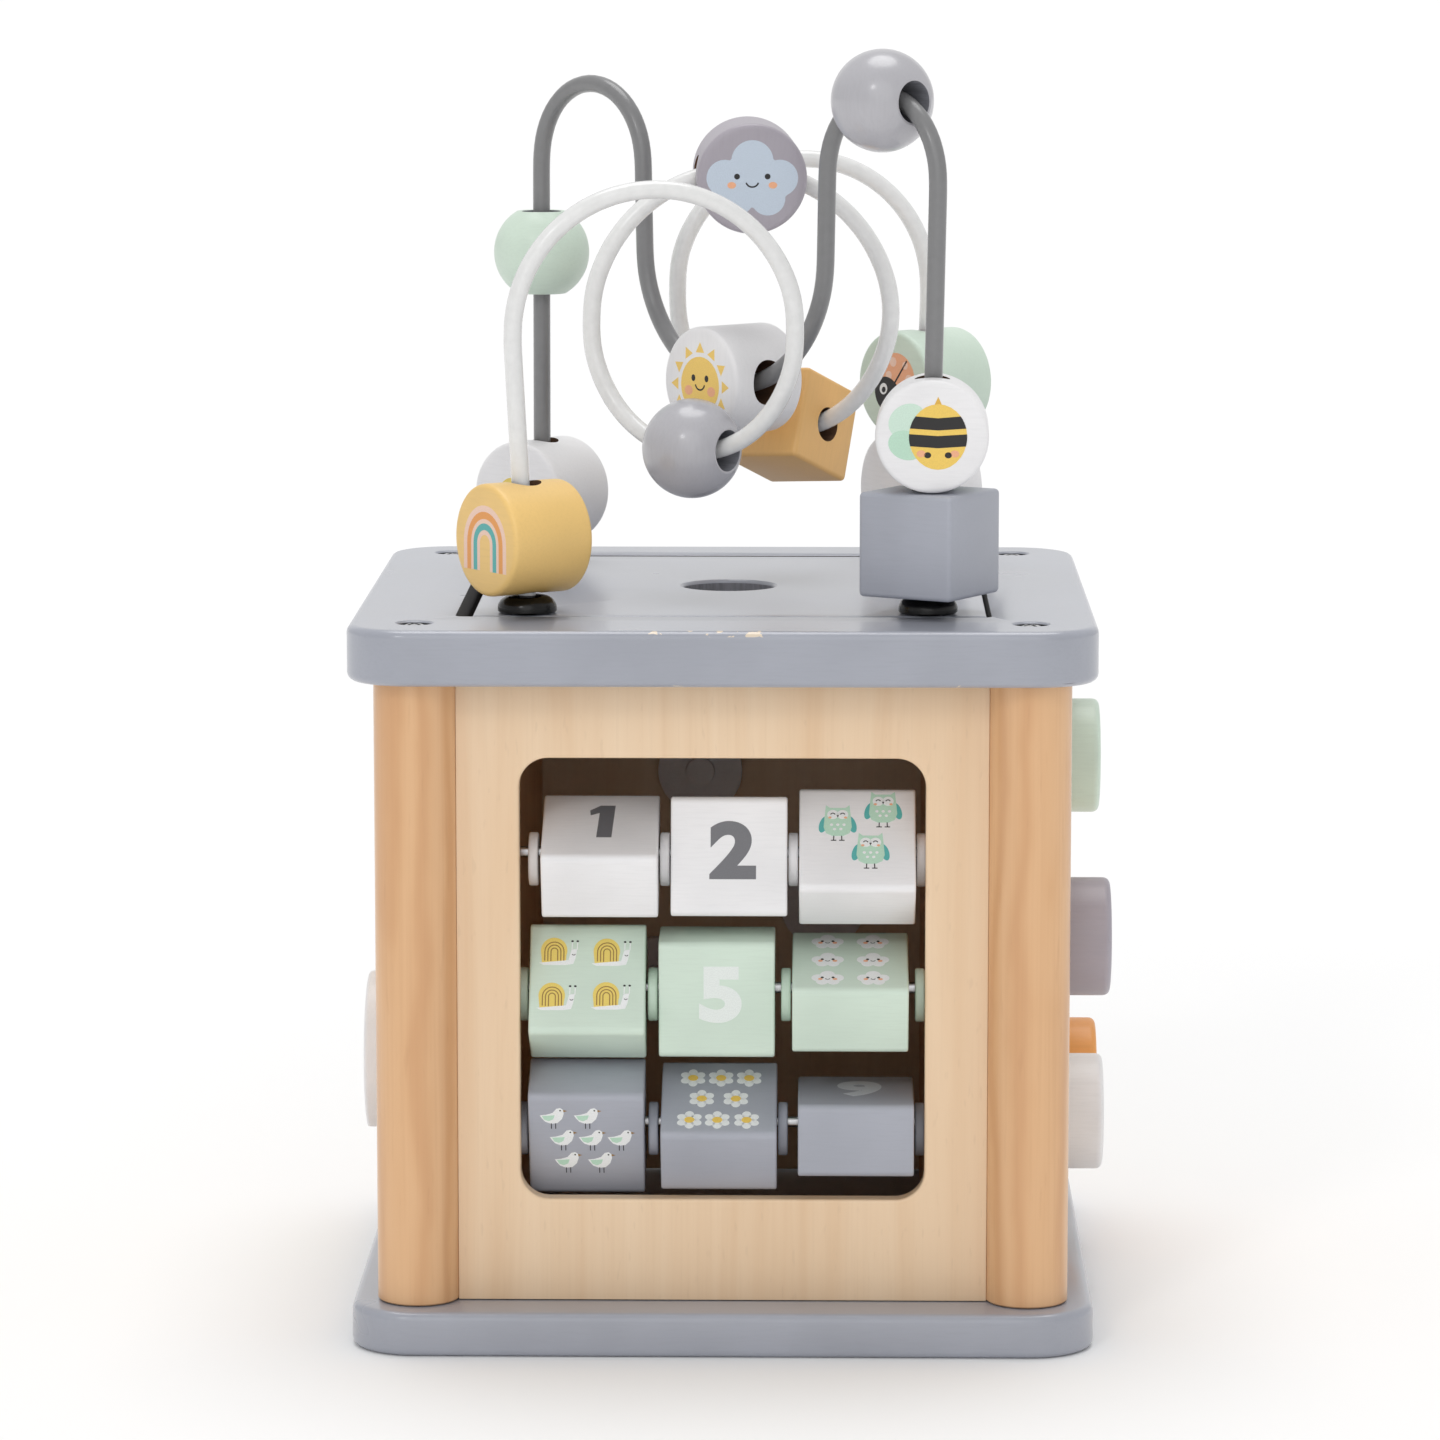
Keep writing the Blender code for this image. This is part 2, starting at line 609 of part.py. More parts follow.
def build_maze(lid):
    white = bends_of(WHITE_UPRIGHTS, WHITE_BEND_HEIGHTS)
    grey = bends_of(GREY_UPRIGHTS, GREY_BEND_HEIGHTS)
    add_wire("white_wire", "wire_white", wire_points(WHITE_FEET, white), lid)
    add_wire("grey_wire", "wire_grey", wire_points(GREY_FEET, grey), lid)
    front_left, back_right = legs_of(WHITE_FEET, WHITE_UPRIGHTS, WHITE_BEND_HEIGHTS)
    back_left, front_right = legs_of(GREY_FEET, GREY_UPRIGHTS, GREY_BEND_HEIGHTS)

    def on_leg(name, leg, height, facing):
        low, high = leg
        point = low.lerp(high, (height - low.z) / (high.z - low.z))
        return bead_matrix(point, UP, facing), add_empty(name + "_joint", point, lid)

    def on_bend(name, bend, degrees, facing, half_length=DRUM_RADIUS, turn=0.0):
        """Half the wire's bow inside the bead is left on each side of its hole's axis."""
        angle = math.radians(degrees)
        bow = bend.radius - math.sqrt(bend.radius**2 - half_length**2)
        point = bend.point(angle)
        point += (bend.centre - point).normalized() * bow / 2
        pivot = add_empty(name + "_joint", bend.centre, lid)
        tangent = Matrix.Rotation(math.radians(turn), 3, "Z") @ bend.tangent(angle)
        return bead_matrix(point, tangent, facing), pivot

    name = "bead_rainbow"
    add_drum(name, "yellow", *on_leg(name, front_left, FOOT_DRUM_HEIGHT, (-0.81, -0.59, 0)))
    name = "bead_snail"
    add_drum(name, "white", *on_leg(name, back_left, FOOT_DRUM_HEIGHT, (-0.55, -0.83, 0)))
    name = "bead_plain"
    place = on_leg(name, back_right, PLAIN_DRUM_HEIGHT, (-0.9, -0.4, 0))
    add_drum(name, "white", *place, PLAIN_DRUM_RADIUS)
    name = "bead_ladybird"
    height = PLAIN_DRUM_HEIGHT + PLAIN_DRUM_RADIUS + GAP + DRUM_RADIUS
    add_drum(name, "mint", *on_leg(name, back_right, height, (-0.75, -0.66, 0)))
    name = "bead_grey_cube"
    place = on_leg(name, front_right, FOOT_CUBE_HEIGHT, (-0.50, -0.87, 0))
    add_cube(name, "grey", CUBE_SIDE, *place)
    name = "bead_bee"
    height = FOOT_CUBE_HEIGHT + CUBE_SIDE / 2 + GAP + DRUM_RADIUS
    add_drum(name, "white", *on_leg(name, front_right, height, (-0.02, -1, 0)))
    name = "bead_mint_ball"
    place = on_leg(name, back_left, MINT_BALL_HEIGHT, (0, -1, 0))
    add_ball(name, "mint", MINT_BALL_RADIUS, MINT_BALL_HALF_LENGTH, *place)
    name = "bead_lower_ball"
    place = on_bend(name, white[1], 0, (0, -1, 0), LOWER_BALL_HALF_LENGTH)
    add_ball(name, "grey", LOWER_BALL_RADIUS, LOWER_BALL_HALF_LENGTH, *place)
    name = "bead_cloud"
    place = on_bend(name, white[2], 3, (-0.04, -1, -0.04), turn=CLOUD_TURN)
    add_drum(name, "grey", *place)
    name = "bead_yellow_cube"
    place = on_bend(name, white[3], -4, (-0.50, -0.78, 0.37), YELLOW_CUBE_SIDE / 2)
    add_cube(name, "yellow", YELLOW_CUBE_SIDE, *place)
    name = "bead_sun"
    place = on_bend(name, grey[1], 0, (-0.83, -0.56, 0))
    add_drum(name, "white", *place, hole=SUN_HOLE_RADIUS)
    name = "bead_top_ball"
    place = on_bend(name, grey[2], 0, (0, -1, 0), TOP_BALL_HALF_LENGTH)
    add_ball(name, "grey", TOP_BALL_RADIUS, TOP_BALL_HALF_LENGTH, *place)


# ---------------------------------------------------------------- sliding knobs


def build_slider_panel():
    slider_panel = panel("slider_panel", "x", 1)
    for name, colour, y, z, direction, low, high in KNOBS:
        run = high - low + 2 * SLOT_HALF_WIDTH
        middle = (low + high) / 2
        if direction == "z":
            size, place = (run, 2 * SLOT_HALF_WIDTH), (y, middle)
        else:
            size, place = (2 * SLOT_HALF_WIDTH, run), (middle, z)
        slot = slab_mesh("knob_slot", (*size, 4 * PANEL_THICKNESS), 0.95 * SLOT_HALF_WIDTH, 4)
        cut(slider_panel, add_helper("knob_slot", slot, at(PANEL_OUTER_FACE, *place, "x")))
        build_knob(name, colour, y, z)


def build_knob(name, colour, y, z):
    """A round knob outside, a neck through the slot and a disc that holds it inside, as one turning."""
    edge = 0.0020
    foot_top = PANEL_INNER_FACE - GAP
    foot_bottom = foot_top - KNOB_FOOT_THICKNESS
    profile = [(0, KNOB_OUTER_FACE)]
    for step in range(4):
        angle = math.radians(90 - 30 * step)
        radius = KNOB_RADIUS - edge + edge * math.cos(angle)
        profile.append((radius, KNOB_OUTER_FACE - edge + edge * math.sin(angle)))
    profile += [
        (KNOB_RADIUS, KNOB_INNER_FACE),
        (KNOB_NECK_RADIUS, KNOB_INNER_FACE),
        (KNOB_NECK_RADIUS, foot_top),
        (KNOB_FOOT_RADIUS, foot_top),
        (KNOB_FOOT_RADIUS, foot_bottom),
        (0, foot_bottom),
    ]
    shifted = [(radius, height - KNOB_OUTER_FACE) for radius, height in profile]
    add_turned(name, shifted, colour, at(KNOB_OUTER_FACE, y, z, "x"))


# ---------------------------------------------------------------- gears


def involute(angle):
    return math.tan(angle) - angle


def tooth_half_angle(radius):
    """Half the angle that one tooth fills at this radius."""
    base = GEAR_PITCH_RADIUS * math.cos(GEAR_PRESSURE_ANGLE)
    at_pitch = math.pi / (2 * GEAR_TEETH) - GEAR_BACKLASH / (2 * GEAR_PITCH_RADIUS)
    slope = math.acos(min(1.0, base / radius))
    return at_pitch + involute(GEAR_PRESSURE_ANGLE) - involute(slope)


def gear_mesh(name, first_tooth):
    """A spur gear in the XY plane with a tooth centred at this angle."""
    inner = GEAR_PITCH_RADIUS - GEAR_DEDENDUM
    outer = GEAR_PITCH_RADIUS + GEAR_ADDENDUM
    radii = [inner + (outer - inner) * step / 3 for step in range(4)]
    outline = []
    for tooth in range(GEAR_TEETH):
        middle = first_tooth + 2 * math.pi * tooth / GEAR_TEETH
        outline += [(radius, middle - tooth_half_angle(radius)) for radius in radii]
        outline += [(radius, middle + tooth_half_angle(radius)) for radius in reversed(radii)]
    bm = bmesh.new()
    corners = [
        bm.verts.new((radius * math.cos(angle), radius * math.sin(angle), -GEAR_THICKNESS / 2))
        for radius, angle in outline
    ]
    face = bm.faces.new(corners)
    raised = bmesh.ops.extrude_face_region(bm, geom=[face])["geom"]
    top = [item for item in raised if isinstance(item, bmesh.types.BMVert)]
    bmesh.ops.translate(bm, vec=(0, 0, GEAR_THICKNESS), verts=top)
    return mesh_from(bm, name, smooth_angle=35)


def gear_layout():
    """Name, centre in X and Z, angle of one tooth from +X towards +Z, and colour of each gear."""
    pitch = 2 * math.pi / GEAR_TEETH
    upper = GEAR_DIRECTIONS["gear_upper"]
    lower = GEAR_DIRECTIONS["gear_lower"]
    middle_tooth = upper + pitch / 2
    layout = [("gear_middle", GEAR_MIDDLE, middle_tooth, "mint")]
    for name, direction, colour in (("gear_upper", upper, "yellow"), ("gear_lower", lower, "grey")):
        x = GEAR_MIDDLE[0] + 2 * GEAR_PITCH_RADIUS * math.cos(direction)
        z = GEAR_MIDDLE[1] + 2 * GEAR_PITCH_RADIUS * math.sin(direction)
        # A tooth of the middle gear this far past the line of centres meets a gap as far before it.
        past = (middle_tooth - direction) % pitch
        layout.append((name, (x, z), direction + math.pi - past + pitch / 2, colour))
    return layout


def build_gear_panel():
    gear_panel = panel("gear_panel", "y", 1)
    face_y = PANEL_OUTER_FACE + 0.0012
    # Local Z of a gear points to the front, so local X stays X and local Y becomes Z.
    turn = Matrix.Rotation(math.radians(90), 4, "X")
    for name, (x, z), tooth, colour in gear_layout():
        hole = round_mesh("peg_hole", PEG_RADIUS + GAP, 4 * PANEL_THICKNESS, 16)
        cut(gear_panel, add_helper("peg_hole", hole, at(x, PANEL_OUTER_FACE, z, "y")))
        place = Matrix.Translation((x, face_y + GEAR_THICKNESS / 2, z)) @ turn
        gear = add_part(name, gear_mesh(name, tooth), colour, place)
        bore = round_mesh("gear_bore", GEAR_BORE_RADIUS, 3 * GEAR_THICKNESS, 16)
        cut(gear, add_helper("gear_bore", bore, place, gear))
        build_peg(name.replace("gear", "gear_peg"), x, z, face_y + GEAR_THICKNESS)


def build_peg(name, x, z, gear_face):
    """The fixed pin a gear turns on: head outside, disc and boss inside the panel."""
    head_bottom = gear_face + 0.0005
    foot_top = PANEL_INNER_FACE - GAP
    foot_bottom = foot_top - PEG_FOOT_THICKNESS
    profile = [
        (0, head_bottom + PEG_HEAD_THICKNESS),
        (PEG_HEAD_RADIUS - 0.001, head_bottom + PEG_HEAD_THICKNESS),
        (PEG_HEAD_RADIUS, head_bottom + PEG_HEAD_THICKNESS - 0.001),
        (PEG_HEAD_RADIUS, head_bottom),
        (PEG_RADIUS, head_bottom),
        (PEG_RADIUS, foot_top),
        (PEG_FOOT_RADIUS, foot_top),
        (PEG_FOOT_RADIUS, foot_bottom),
        (PEG_BOSS_RADIUS, foot_bottom),
        (PEG_BOSS_RADIUS, foot_bottom - PEG_BOSS_HEIGHT),
        (0, foot_bottom - PEG_BOSS_HEIGHT),
    ]
    shifted = [(radius, height - gear_face) for radius, height in profile]
    add_turned(name, shifted, "white", at(x, gear_face, z, "y"))


# ---------------------------------------------------------------- shape blocks


def shape_mesh(name, length, grow):
    """A block or, grown by the clearance, its hole: a prism along Z, centred."""
    kind = name.rsplit("_", 1)[-1]
    if kind == "round":
        mesh = round_mesh(name, ROUND_SHAPE_RADIUS + grow, length, 24)
        bm = bmesh.new()
        bm.from_mesh(mesh)
        bmesh.ops.bisect_plane(
            bm,
            geom=[*bm.verts, *bm.edges, *bm.faces],
            plane_co=(0, -ROUND_SHAPE_FLAT - grow, 0),
            plane_no=(0, -1, 0),
            clear_outer=True,
        )
        bmesh.ops.holes_fill(bm, edges=bm.edges)
        return mesh_from(bm, name, smooth_angle=40)
    sides, radius = SHAPE_SIDES[kind]
    radius += grow / math.cos(math.pi / sides)
    bm = bmesh.new()
    bmesh.ops.create_cone(
        bm, cap_ends=True, segments=sides, radius1=radius, radius2=radius, depth=length
    )
    if sides == 4:
        bmesh.ops.rotate(bm, verts=bm.verts, matrix=Matrix.Rotation(math.pi / 4, 3, "Z"))
    return mesh_from(bm, name)


def build_sorter_panel():
    sorter_panel = panel("sorter_panel", "x", -1)
    # Local Z points out to the left, local Y stays up.
    turn = Matrix(((0, 0, -1, 0), (-1, 0, 0, 0), (0, 1, 0, 0), (0, 0, 0, 1)))
    for name, colour, y, z, end in SHAPES:
        hole = shape_mesh("hole_" + name, 4 * PANEL_THICKNESS, SHAPE_CLEARANCE)
        place = Matrix.Translation((-PANEL_OUTER_FACE, y, z)) @ turn
        cut(sorter_panel, add_helper("hole_" + name, hole, place))
        place = Matrix.Translation((-end + SHAPE_LENGTH / 2, y, z)) @ turn
        block = add_part(name, shape_mesh(name, SHAPE_LENGTH, 0), colour, place)
        round_edges(block, 0.0010, 1).angle_limit = math.radians(50)


# ---------------------------------------------------------------- the whole object

clear_scene()
PARTS = new_collection("activity_cube")
CUTTERS = new_collection("cutters")
build_plates()
build_posts()
build_front_panel()
build_inner_walls()
build_rods()
build_number_blocks()
build_maze(build_lid())
build_slider_panel()
build_gear_panel()
build_sorter_panel()
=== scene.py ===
"""Looks of the wooden activity cube: finer pieces, procedural materials, prints, stage and camera."""

import math

import bmesh
import bpy
from mathutils import Matrix, Vector


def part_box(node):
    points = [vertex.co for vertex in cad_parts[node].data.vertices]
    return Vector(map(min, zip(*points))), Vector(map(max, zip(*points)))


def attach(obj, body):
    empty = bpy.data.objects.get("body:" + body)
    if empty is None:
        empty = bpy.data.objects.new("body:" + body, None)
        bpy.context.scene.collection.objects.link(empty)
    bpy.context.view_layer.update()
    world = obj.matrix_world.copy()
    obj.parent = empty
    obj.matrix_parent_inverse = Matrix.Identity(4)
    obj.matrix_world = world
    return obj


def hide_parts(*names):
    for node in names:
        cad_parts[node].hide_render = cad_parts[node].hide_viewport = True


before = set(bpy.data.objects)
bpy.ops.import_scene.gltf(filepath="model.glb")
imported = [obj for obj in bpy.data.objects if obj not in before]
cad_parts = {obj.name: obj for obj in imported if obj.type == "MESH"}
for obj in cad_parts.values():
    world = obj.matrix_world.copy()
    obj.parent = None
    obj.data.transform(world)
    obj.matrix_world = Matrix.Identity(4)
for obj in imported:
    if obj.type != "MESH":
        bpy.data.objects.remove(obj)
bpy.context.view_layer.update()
BODY = "cube_body"
LID = "lid"

# ---- sizes that part.py also holds, in metres

GAP = 0.0003
PLATE_SIDE = 0.200
PLATE_CORNER = 0.0174
BASE_THICKNESS = 0.012
TOP_THICKNESS = 0.015
TOP_MIDDLE = 0.1885
BETWEEN_PLATES = (0.0123, 0.1807)
POST_OFFSET = 0.082
POST_RADIUS = 0.0111
FRONT_HALF_WIDTH = 0.0711
PANEL_OUTER_FACE = 0.0845
PANEL_THICKNESS = 0.006
OPENING_HALF = (0.0720, 0.0715)
OPENING_CENTRE_Y = 0.0030
LID_HALF = (0.0691, 0.0700)
LID_CENTRE_X = 0.0016
FINGER_HOLE = (0.0004, 0.0128)
WINDOW_HALF_WIDTH = 0.0543
WINDOW_HEIGHTS = (0.040, 0.160)
WINDOW_CORNER = 0.0078
ROD_RADIUS = 0.0015
ROD_HALF_LENGTH = 0.0610
ROD_Y = -0.070
ROD_HEIGHTS = {"upper": 0.1324, "middle": 0.0954, "lower": 0.0584}
SPACER_RADIUS = 0.0072
SPACER_THICKNESS = 0.0026
SPACER_SAG = 0.0020
SPACER_X = {
    "upper": (-0.0510, -0.0156, 0.0189, 0.0533),
    "middle": (-0.0538, -0.0189, 0.0170, 0.0531),
    "lower": (-0.0540, -0.0188, 0.0162, 0.0532),
}
TILE_SIZE = (0.0312, 0.0200, 0.0320)
TILE_SAG = 0.0012
TILE_HOLE_RADIUS = 0.0030
TILES = (
    (1, "upper", -0.0329, 66.2),
    (2, "upper", 0.0017, 9.4),
    (3, "upper", 0.0361, 39.8),
    (4, "middle", -0.0364, 32.0),
    (5, "middle", -0.0016, -4.0),
    (6, "middle", 0.0343, 70.0),
    (7, "lower", -0.0367, -21.5),
    (8, "lower", -0.0010, 62.4),
    (9, "lower", 0.0359, 86.6),
)
ROW_PAINT = {"upper": "white", "middle": "mint", "lower": "grey"}

WIRE_RADIUS = 0.00245
WIRE_FOOT = 0.184
LID_TOP = 0.196
COLLAR_HEIGHT = 0.0046
COLLAR_RADIUS = 0.0080
COLLAR_TOP = LID_TOP + GAP + COLLAR_HEIGHT
WHITE_FEET = ((-0.0530, -0.060), (0.0545, 0.060))
WHITE_UPRIGHTS = (
    (-0.0568, -0.060),
    (0.0195, -0.047),
    (-0.0380, -0.007),
    (0.0460, 0.006),
    (-0.0155, 0.049),
    (0.0570, 0.060),
)
WHITE_BEND_HEIGHTS = (0.2710, 0.2713, 0.2697, 0.2751, 0.2760)
GREY_FEET = ((-0.0545, 0.060), (0.0550, -0.060))
GREY_UPRIGHTS = ((-0.0543, 0.060), (-0.0240, 0.0280), (0.0275, -0.0280), (0.0572, -0.060))
GREY_BEND_HEIGHTS = (0.3126, 0.2905, 0.3130)
BEND_REACH = 80

DRUM_RADIUS = 0.0152
PLAIN_DRUM_RADIUS = 0.0158
DRUM_THICKNESS = 0.0250
CUBE_SIDE = 0.0282
YELLOW_CUBE_SIDE = 0.0260
BEAD_HOLE_RADIUS = 0.0048
BALL_HOLE_RADIUS = 0.0055
SUN_HOLE_RADIUS = 0.0062
CLOUD_TURN = -4.5
FOOT_DRUM_HEIGHT = COLLAR_TOP + GAP + DRUM_RADIUS
PLAIN_DRUM_HEIGHT = COLLAR_TOP + GAP + PLAIN_DRUM_RADIUS
FOOT_CUBE_HEIGHT = COLLAR_TOP + GAP + CUBE_SIDE / 2
UPPER_DRUM_HEIGHT = PLAIN_DRUM_HEIGHT + PLAIN_DRUM_RADIUS + GAP + DRUM_RADIUS
ON_CUBE_HEIGHT = FOOT_CUBE_HEIGHT + CUBE_SIDE / 2 + GAP + DRUM_RADIUS

KNOB_RADIUS = 0.0162
KNOB_REACH = (0.0880, 0.1055)
KNOB_NECK_RADIUS = 0.0038
KNOB_DISC_RADIUS = 0.0080
KNOBS = (
    ("slider_knob_green", "mint", 0.030, 0.1441),
    ("slider_knob_grey", "stone", -0.043, 0.1048),
    ("slider_knob_white", "white", -0.008, 0.0486),
    ("slider_knob_orange", "orange", 0.036, 0.0503),
)
PANEL_INNER_FACE = PANEL_OUTER_FACE - PANEL_THICKNESS - GAP
DISC_THICKNESS = 0.004

UP = Vector((0, 0, 1))


# ---- materials


def linear(red, green, blue):
    """A colour given in the usual 0 to 255 steps, as Blender's shaders take it."""
    steps = [value / 255 for value in (red, green, blue)]
    return (*[v / 12.92 if v <= 0.04045 else ((v + 0.055) / 1.055) ** 2.4 for v in steps], 1)


class Look:
    """A material while its nodes are put together."""

    def __init__(self, name, roughness, metallic=0.0, coat=0.0, specular=0.5):
        self.material = bpy.data.materials.new(name)
        self.material.use_nodes = True
        self.tree = self.material.node_tree
        self.shader = self.tree.nodes["Principled BSDF"]
        inputs = self.shader.inputs
        inputs["Roughness"].default_value = roughness
        inputs["Metallic"].default_value = metallic
        inputs["Coat Weight"].default_value = coat
        inputs["Coat Roughness"].default_value = 0.15
        inputs["Specular IOR Level"].default_value = specular
        self.place = self.tree.nodes.new("ShaderNodeTexCoord").outputs["Object"]

    def put(self, socket, value):
        if isinstance(value, bpy.types.NodeSocket):
            self.tree.links.new(value, socket)
        else:
            socket.default_value = value

    def node(self, kind, **inputs):
        made = self.tree.nodes.new("ShaderNode" + kind)
        for name, value in inputs.items():
            self.put(made.inputs[name.replace("_", " ")], value)
        return made

    def mapped(self, scale, turn=(0, 0, 0), shift=(0, 0, 0)):
        made = self.node("Mapping", Vector=self.place, Scale=scale, Location=shift)
        made.inputs["Rotation"].default_value = [math.radians(angle) for angle in turn]
        return made.outputs["Vector"]

    def noise(self, scale, detail=3.0, distortion=0.0, turn=(0, 0, 0), shift=(0, 0, 0)):
        """Noise stretched by a scale for each axis, in features per metre."""
        vector = self.mapped(scale, turn, shift)
        made = self.node("TexNoise", Vector=vector, Scale=1.0, Detail=detail, Distortion=distortion)
        return made.outputs["Fac"]

    def ramp(self, value, *stops):
        made = self.node("ValToRGB", Fac=value)
        ramp = made.color_ramp
        while len(ramp.elements) < len(stops):
            ramp.elements.new(0.5)
        for element, (position, colour) in zip(ramp.elements, stops):
            element.position = position
            element.color = colour
        return made.outputs["Color"]

    def grey_ramp(self, value, low, high):
        return self.ramp(value, (low, (0, 0, 0, 1)), (high, (1, 1, 1, 1)))

    def mix(self, amount, first, second, blend="MIX"):
        made = self.node("MixRGB", Fac=amount, Color1=first, Color2=second)
        made.blend_type = blend
        return made.outputs["Color"]

    def math(self, operation, first, second=0.0):
        made = self.tree.nodes.new("ShaderNodeMath")
        made.operation = operation
        self.put(made.inputs[0], first)
        self.put(made.inputs[1], second)
        return made.outputs[0]

    def masked(self, *masks):
        """The masks multiplied with one another."""
        product = masks[0]
        for mask in masks[1:]:
            product = self.math("MULTIPLY", product, mask)
        return product

    def tint(self, tone, value, low, high, amount, colour):
        """The tone with a colour over it where the value is high, at most by this amount."""
        share = self.masked(self.grey_ramp(value, low, high), amount)
        return self.mix(share, tone, colour)

    def bump(self, height, strength, distance):
        made = self.node("Bump", Height=height, Strength=strength, Distance=distance)
        self.put(self.shader.inputs["Normal"], made.outputs["Normal"])

    def colour(self, value):
        self.put(self.shader.inputs["Base Color"], value)
        return self.material


def scaled(colour, factor):
    return (*[min(1.0, channel * factor) for channel in colour[:3]], 1)


def stretch(along, fine, long):
    """A scale that is fine across the grain and coarse along one axis."""
    return tuple(long if axis == along else fine for axis in "xyz")


def paint(name, key, grain, chips=False):
    """Paint over wood: the grain shows through as fine ridges, and the tone drifts a little."""
    colour = PAINT[key]
    roughness = GLOSSY if key in GLOSS_COAT else SATIN
    look = Look(name, roughness, coat=GLOSS_COAT.get(key, SATIN_COAT))
    streaks = look.noise(stretch(grain, 1500, 120), 3.0, 0.4)
    cloud = look.noise((38, 38, 38), 2.0)
    grit = look.noise((5200, 5200, 5200), 1.0)
    tone = look.mix(look.grey_ramp(cloud, 0.35, 0.65), scaled(colour, 0.955), scaled(colour, 1.035))
    tone = look.tint(tone, streaks, 0.45, 0.8, 0.35, scaled(colour, 0.88))
    tone = look.tint(tone, grit, 0.55, 0.75, 0.16, scaled(colour, 1.15))
    if chips:
        tone = add_wear(look, tone)
    height = look.math("ADD", streaks, look.masked(grit, 0.5))
    look.bump(height, 0.22, 0.0001)
    uneven = look.math("ADD", look.masked(cloud, 0.12), roughness - 0.06)
    look.put(look.shader.inputs["Roughness"], uneven)
    return look.colour(tone)


def add_wear(look, tone):
    """Small chips to bare wood along the front edge of the top plate, and dark scuffs at its corners."""

    def above(value, limit):
        return look.math("GREATER_THAN", value, limit)

    def size_of(value):
        return look.math("ABSOLUTE", value)

    parts = look.node("SeparateXYZ", Vector=look.place).outputs
    front = look.math("LESS_THAN", parts["Y"], -0.0975)
    high = above(parts["Z"], 0.1946)
    low = look.math("LESS_THAN", parts["Z"], 0.1822)
    middle = look.math("LESS_THAN", size_of(look.math("ADD", parts["X"], 0.006)), 0.017)
    patches = above(look.noise((260, 90, 500), 3.0, 0.6), 0.59)
    tone = look.mix(look.masked(front, high, patches, middle), tone, linear(222, 206, 184))
    few = above(look.noise((120, 90, 900), 2.0, 0.5, shift=(3, 1, 0)), 0.70)
    tone = look.mix(look.masked(front, low, few), tone, linear(205, 196, 182))
    corner = above(size_of(parts["X"]), 0.0850)
    lines = above(look.noise((60, 60, 1400), 2.0, 0.2, shift=(7, 2, 5)), 0.66)
    return look.mix(look.masked(corner, low, lines, 0.7), tone, linear(80, 79, 80))


def birch(name, along="z", light=(240, 214, 182), dark=(228, 194, 156)):
    """Pale lacquered board with long soft streaks, fine fibres and short flecks."""
    look = Look(name, 0.42, coat=0.12)
    streaks = look.noise(stretch(along, 62, 3.6), 5.0, 1.2)
    bands = look.noise(stretch(along, 21, 1.1), 2.0, 0.5, shift=(4, 9, 2))
    fibres = look.noise(stretch(along, 1300, 22), 3.0, 0.2)
    flecks = look.noise(stretch(along, 700, 160), 1.0)
    tone = look.ramp(
        streaks,
        (0.30, linear(*light)),
        (0.55, linear(*[(a + b) / 2 for a, b in zip(light, dark)])),
        (0.72, linear(*dark)),
    )
    tone = look.tint(tone, bands, 0.5, 0.72, 0.45, linear(*dark))
    tone = look.tint(tone, fibres, 0.5, 0.8, 0.18, scaled(linear(*dark), 0.88))
    tone = look.tint(tone, flecks, 0.66, 0.74, 0.15, scaled(linear(*dark), 0.74))
    look.bump(fibres, 0.18, 0.0001)
    return look.colour(tone)


def beech(name, seed):
    """Lacquered dowel whose tilted growth rings come out as long flames."""
    look = Look(name, 0.36, coat=0.25)
    tilt = (3.0 + 1.3 * math.sin(seed * 2.1), 2.2 * math.cos(seed * 1.7), 0)
    heart = (0.026 * math.cos(seed), 0.026 * math.sin(seed), 0)
    where = look.mapped((1, 1, 0.32), tilt, heart)
    rings = look.node("TexWave", Vector=where, Scale=44.0, Distortion=7.0, Detail=3.0, Detail_Scale=0.8)
    rings.wave_type = "RINGS"
    rings.rings_direction = "Z"
    drift = look.noise((34, 34, 5), 3.0, 0.8, shift=(seed, 0, 0))
    fibres = look.noise((1100, 1100, 16), 3.0)
    flecks = look.noise((520, 520, 60), 2.0, shift=(2, 5, 1))
    ringed = look.masked(rings.outputs["Fac"], 0.45)
    flames = look.math("ADD", ringed, look.masked(drift, 0.55))
    tone = look.ramp(
        flames,
        (0.22, linear(226, 181, 135)),
        (0.50, linear(221, 174, 127)),
        (0.78, linear(213, 163, 116)),
    )
    tone = look.tint(tone, fibres, 0.45, 0.8, 0.22, linear(200, 148, 104))
    tone = look.tint(tone, flecks, 0.62, 0.72, 0.14, linear(186, 132, 90))
    look.bump(fibres, 0.12, 0.0001)
    return look.colour(tone)


def bare_wood(name, colour):
    """Dull, uneven wood, as in a drilled hole; with a dark colour it serves as painted shade in holes and
    gaps.
    """
    look = Look(name, 0.8)
    fibres = look.noise((900, 900, 120), 3.0)
    tone = look.mix(look.grey_ramp(fibres, 0.35, 0.7), scaled(colour, 0.8), scaled(colour, 1.1))
    look.bump(fibres, 0.4, 0.0002)
    return look.colour(tone)


def coated(name, colour, roughness, coat=0.5, specular=0.5):
    """A glossy coating on wire or a moulded cap, with a faint orange-peel surface."""
    look = Look(name, roughness, coat=coat, specular=specular)
    peel = look.noise((420, 420, 420), 2.0)
    tone = look.mix(look.grey_ramp(peel, 0.3, 0.7), scaled(colour, 0.97), scaled(colour, 1.03))
    look.bump(peel, 0.08, 0.0001)
    return look.colour(tone)


def steel(name, red, green, blue):
    """Bright metal with fine lines from grinding."""
    look = Look(name, 0.22, metallic=1.0)
    lines = look.noise((80, 2600, 2600), 2.0)
    look.bump(lines, 0.06, 0.0001)
    shade = linear(red, green, blue)
    return look.colour(look.mix(look.grey_ramp(lines, 0.3, 0.7), scaled(shade, 0.9), shade))


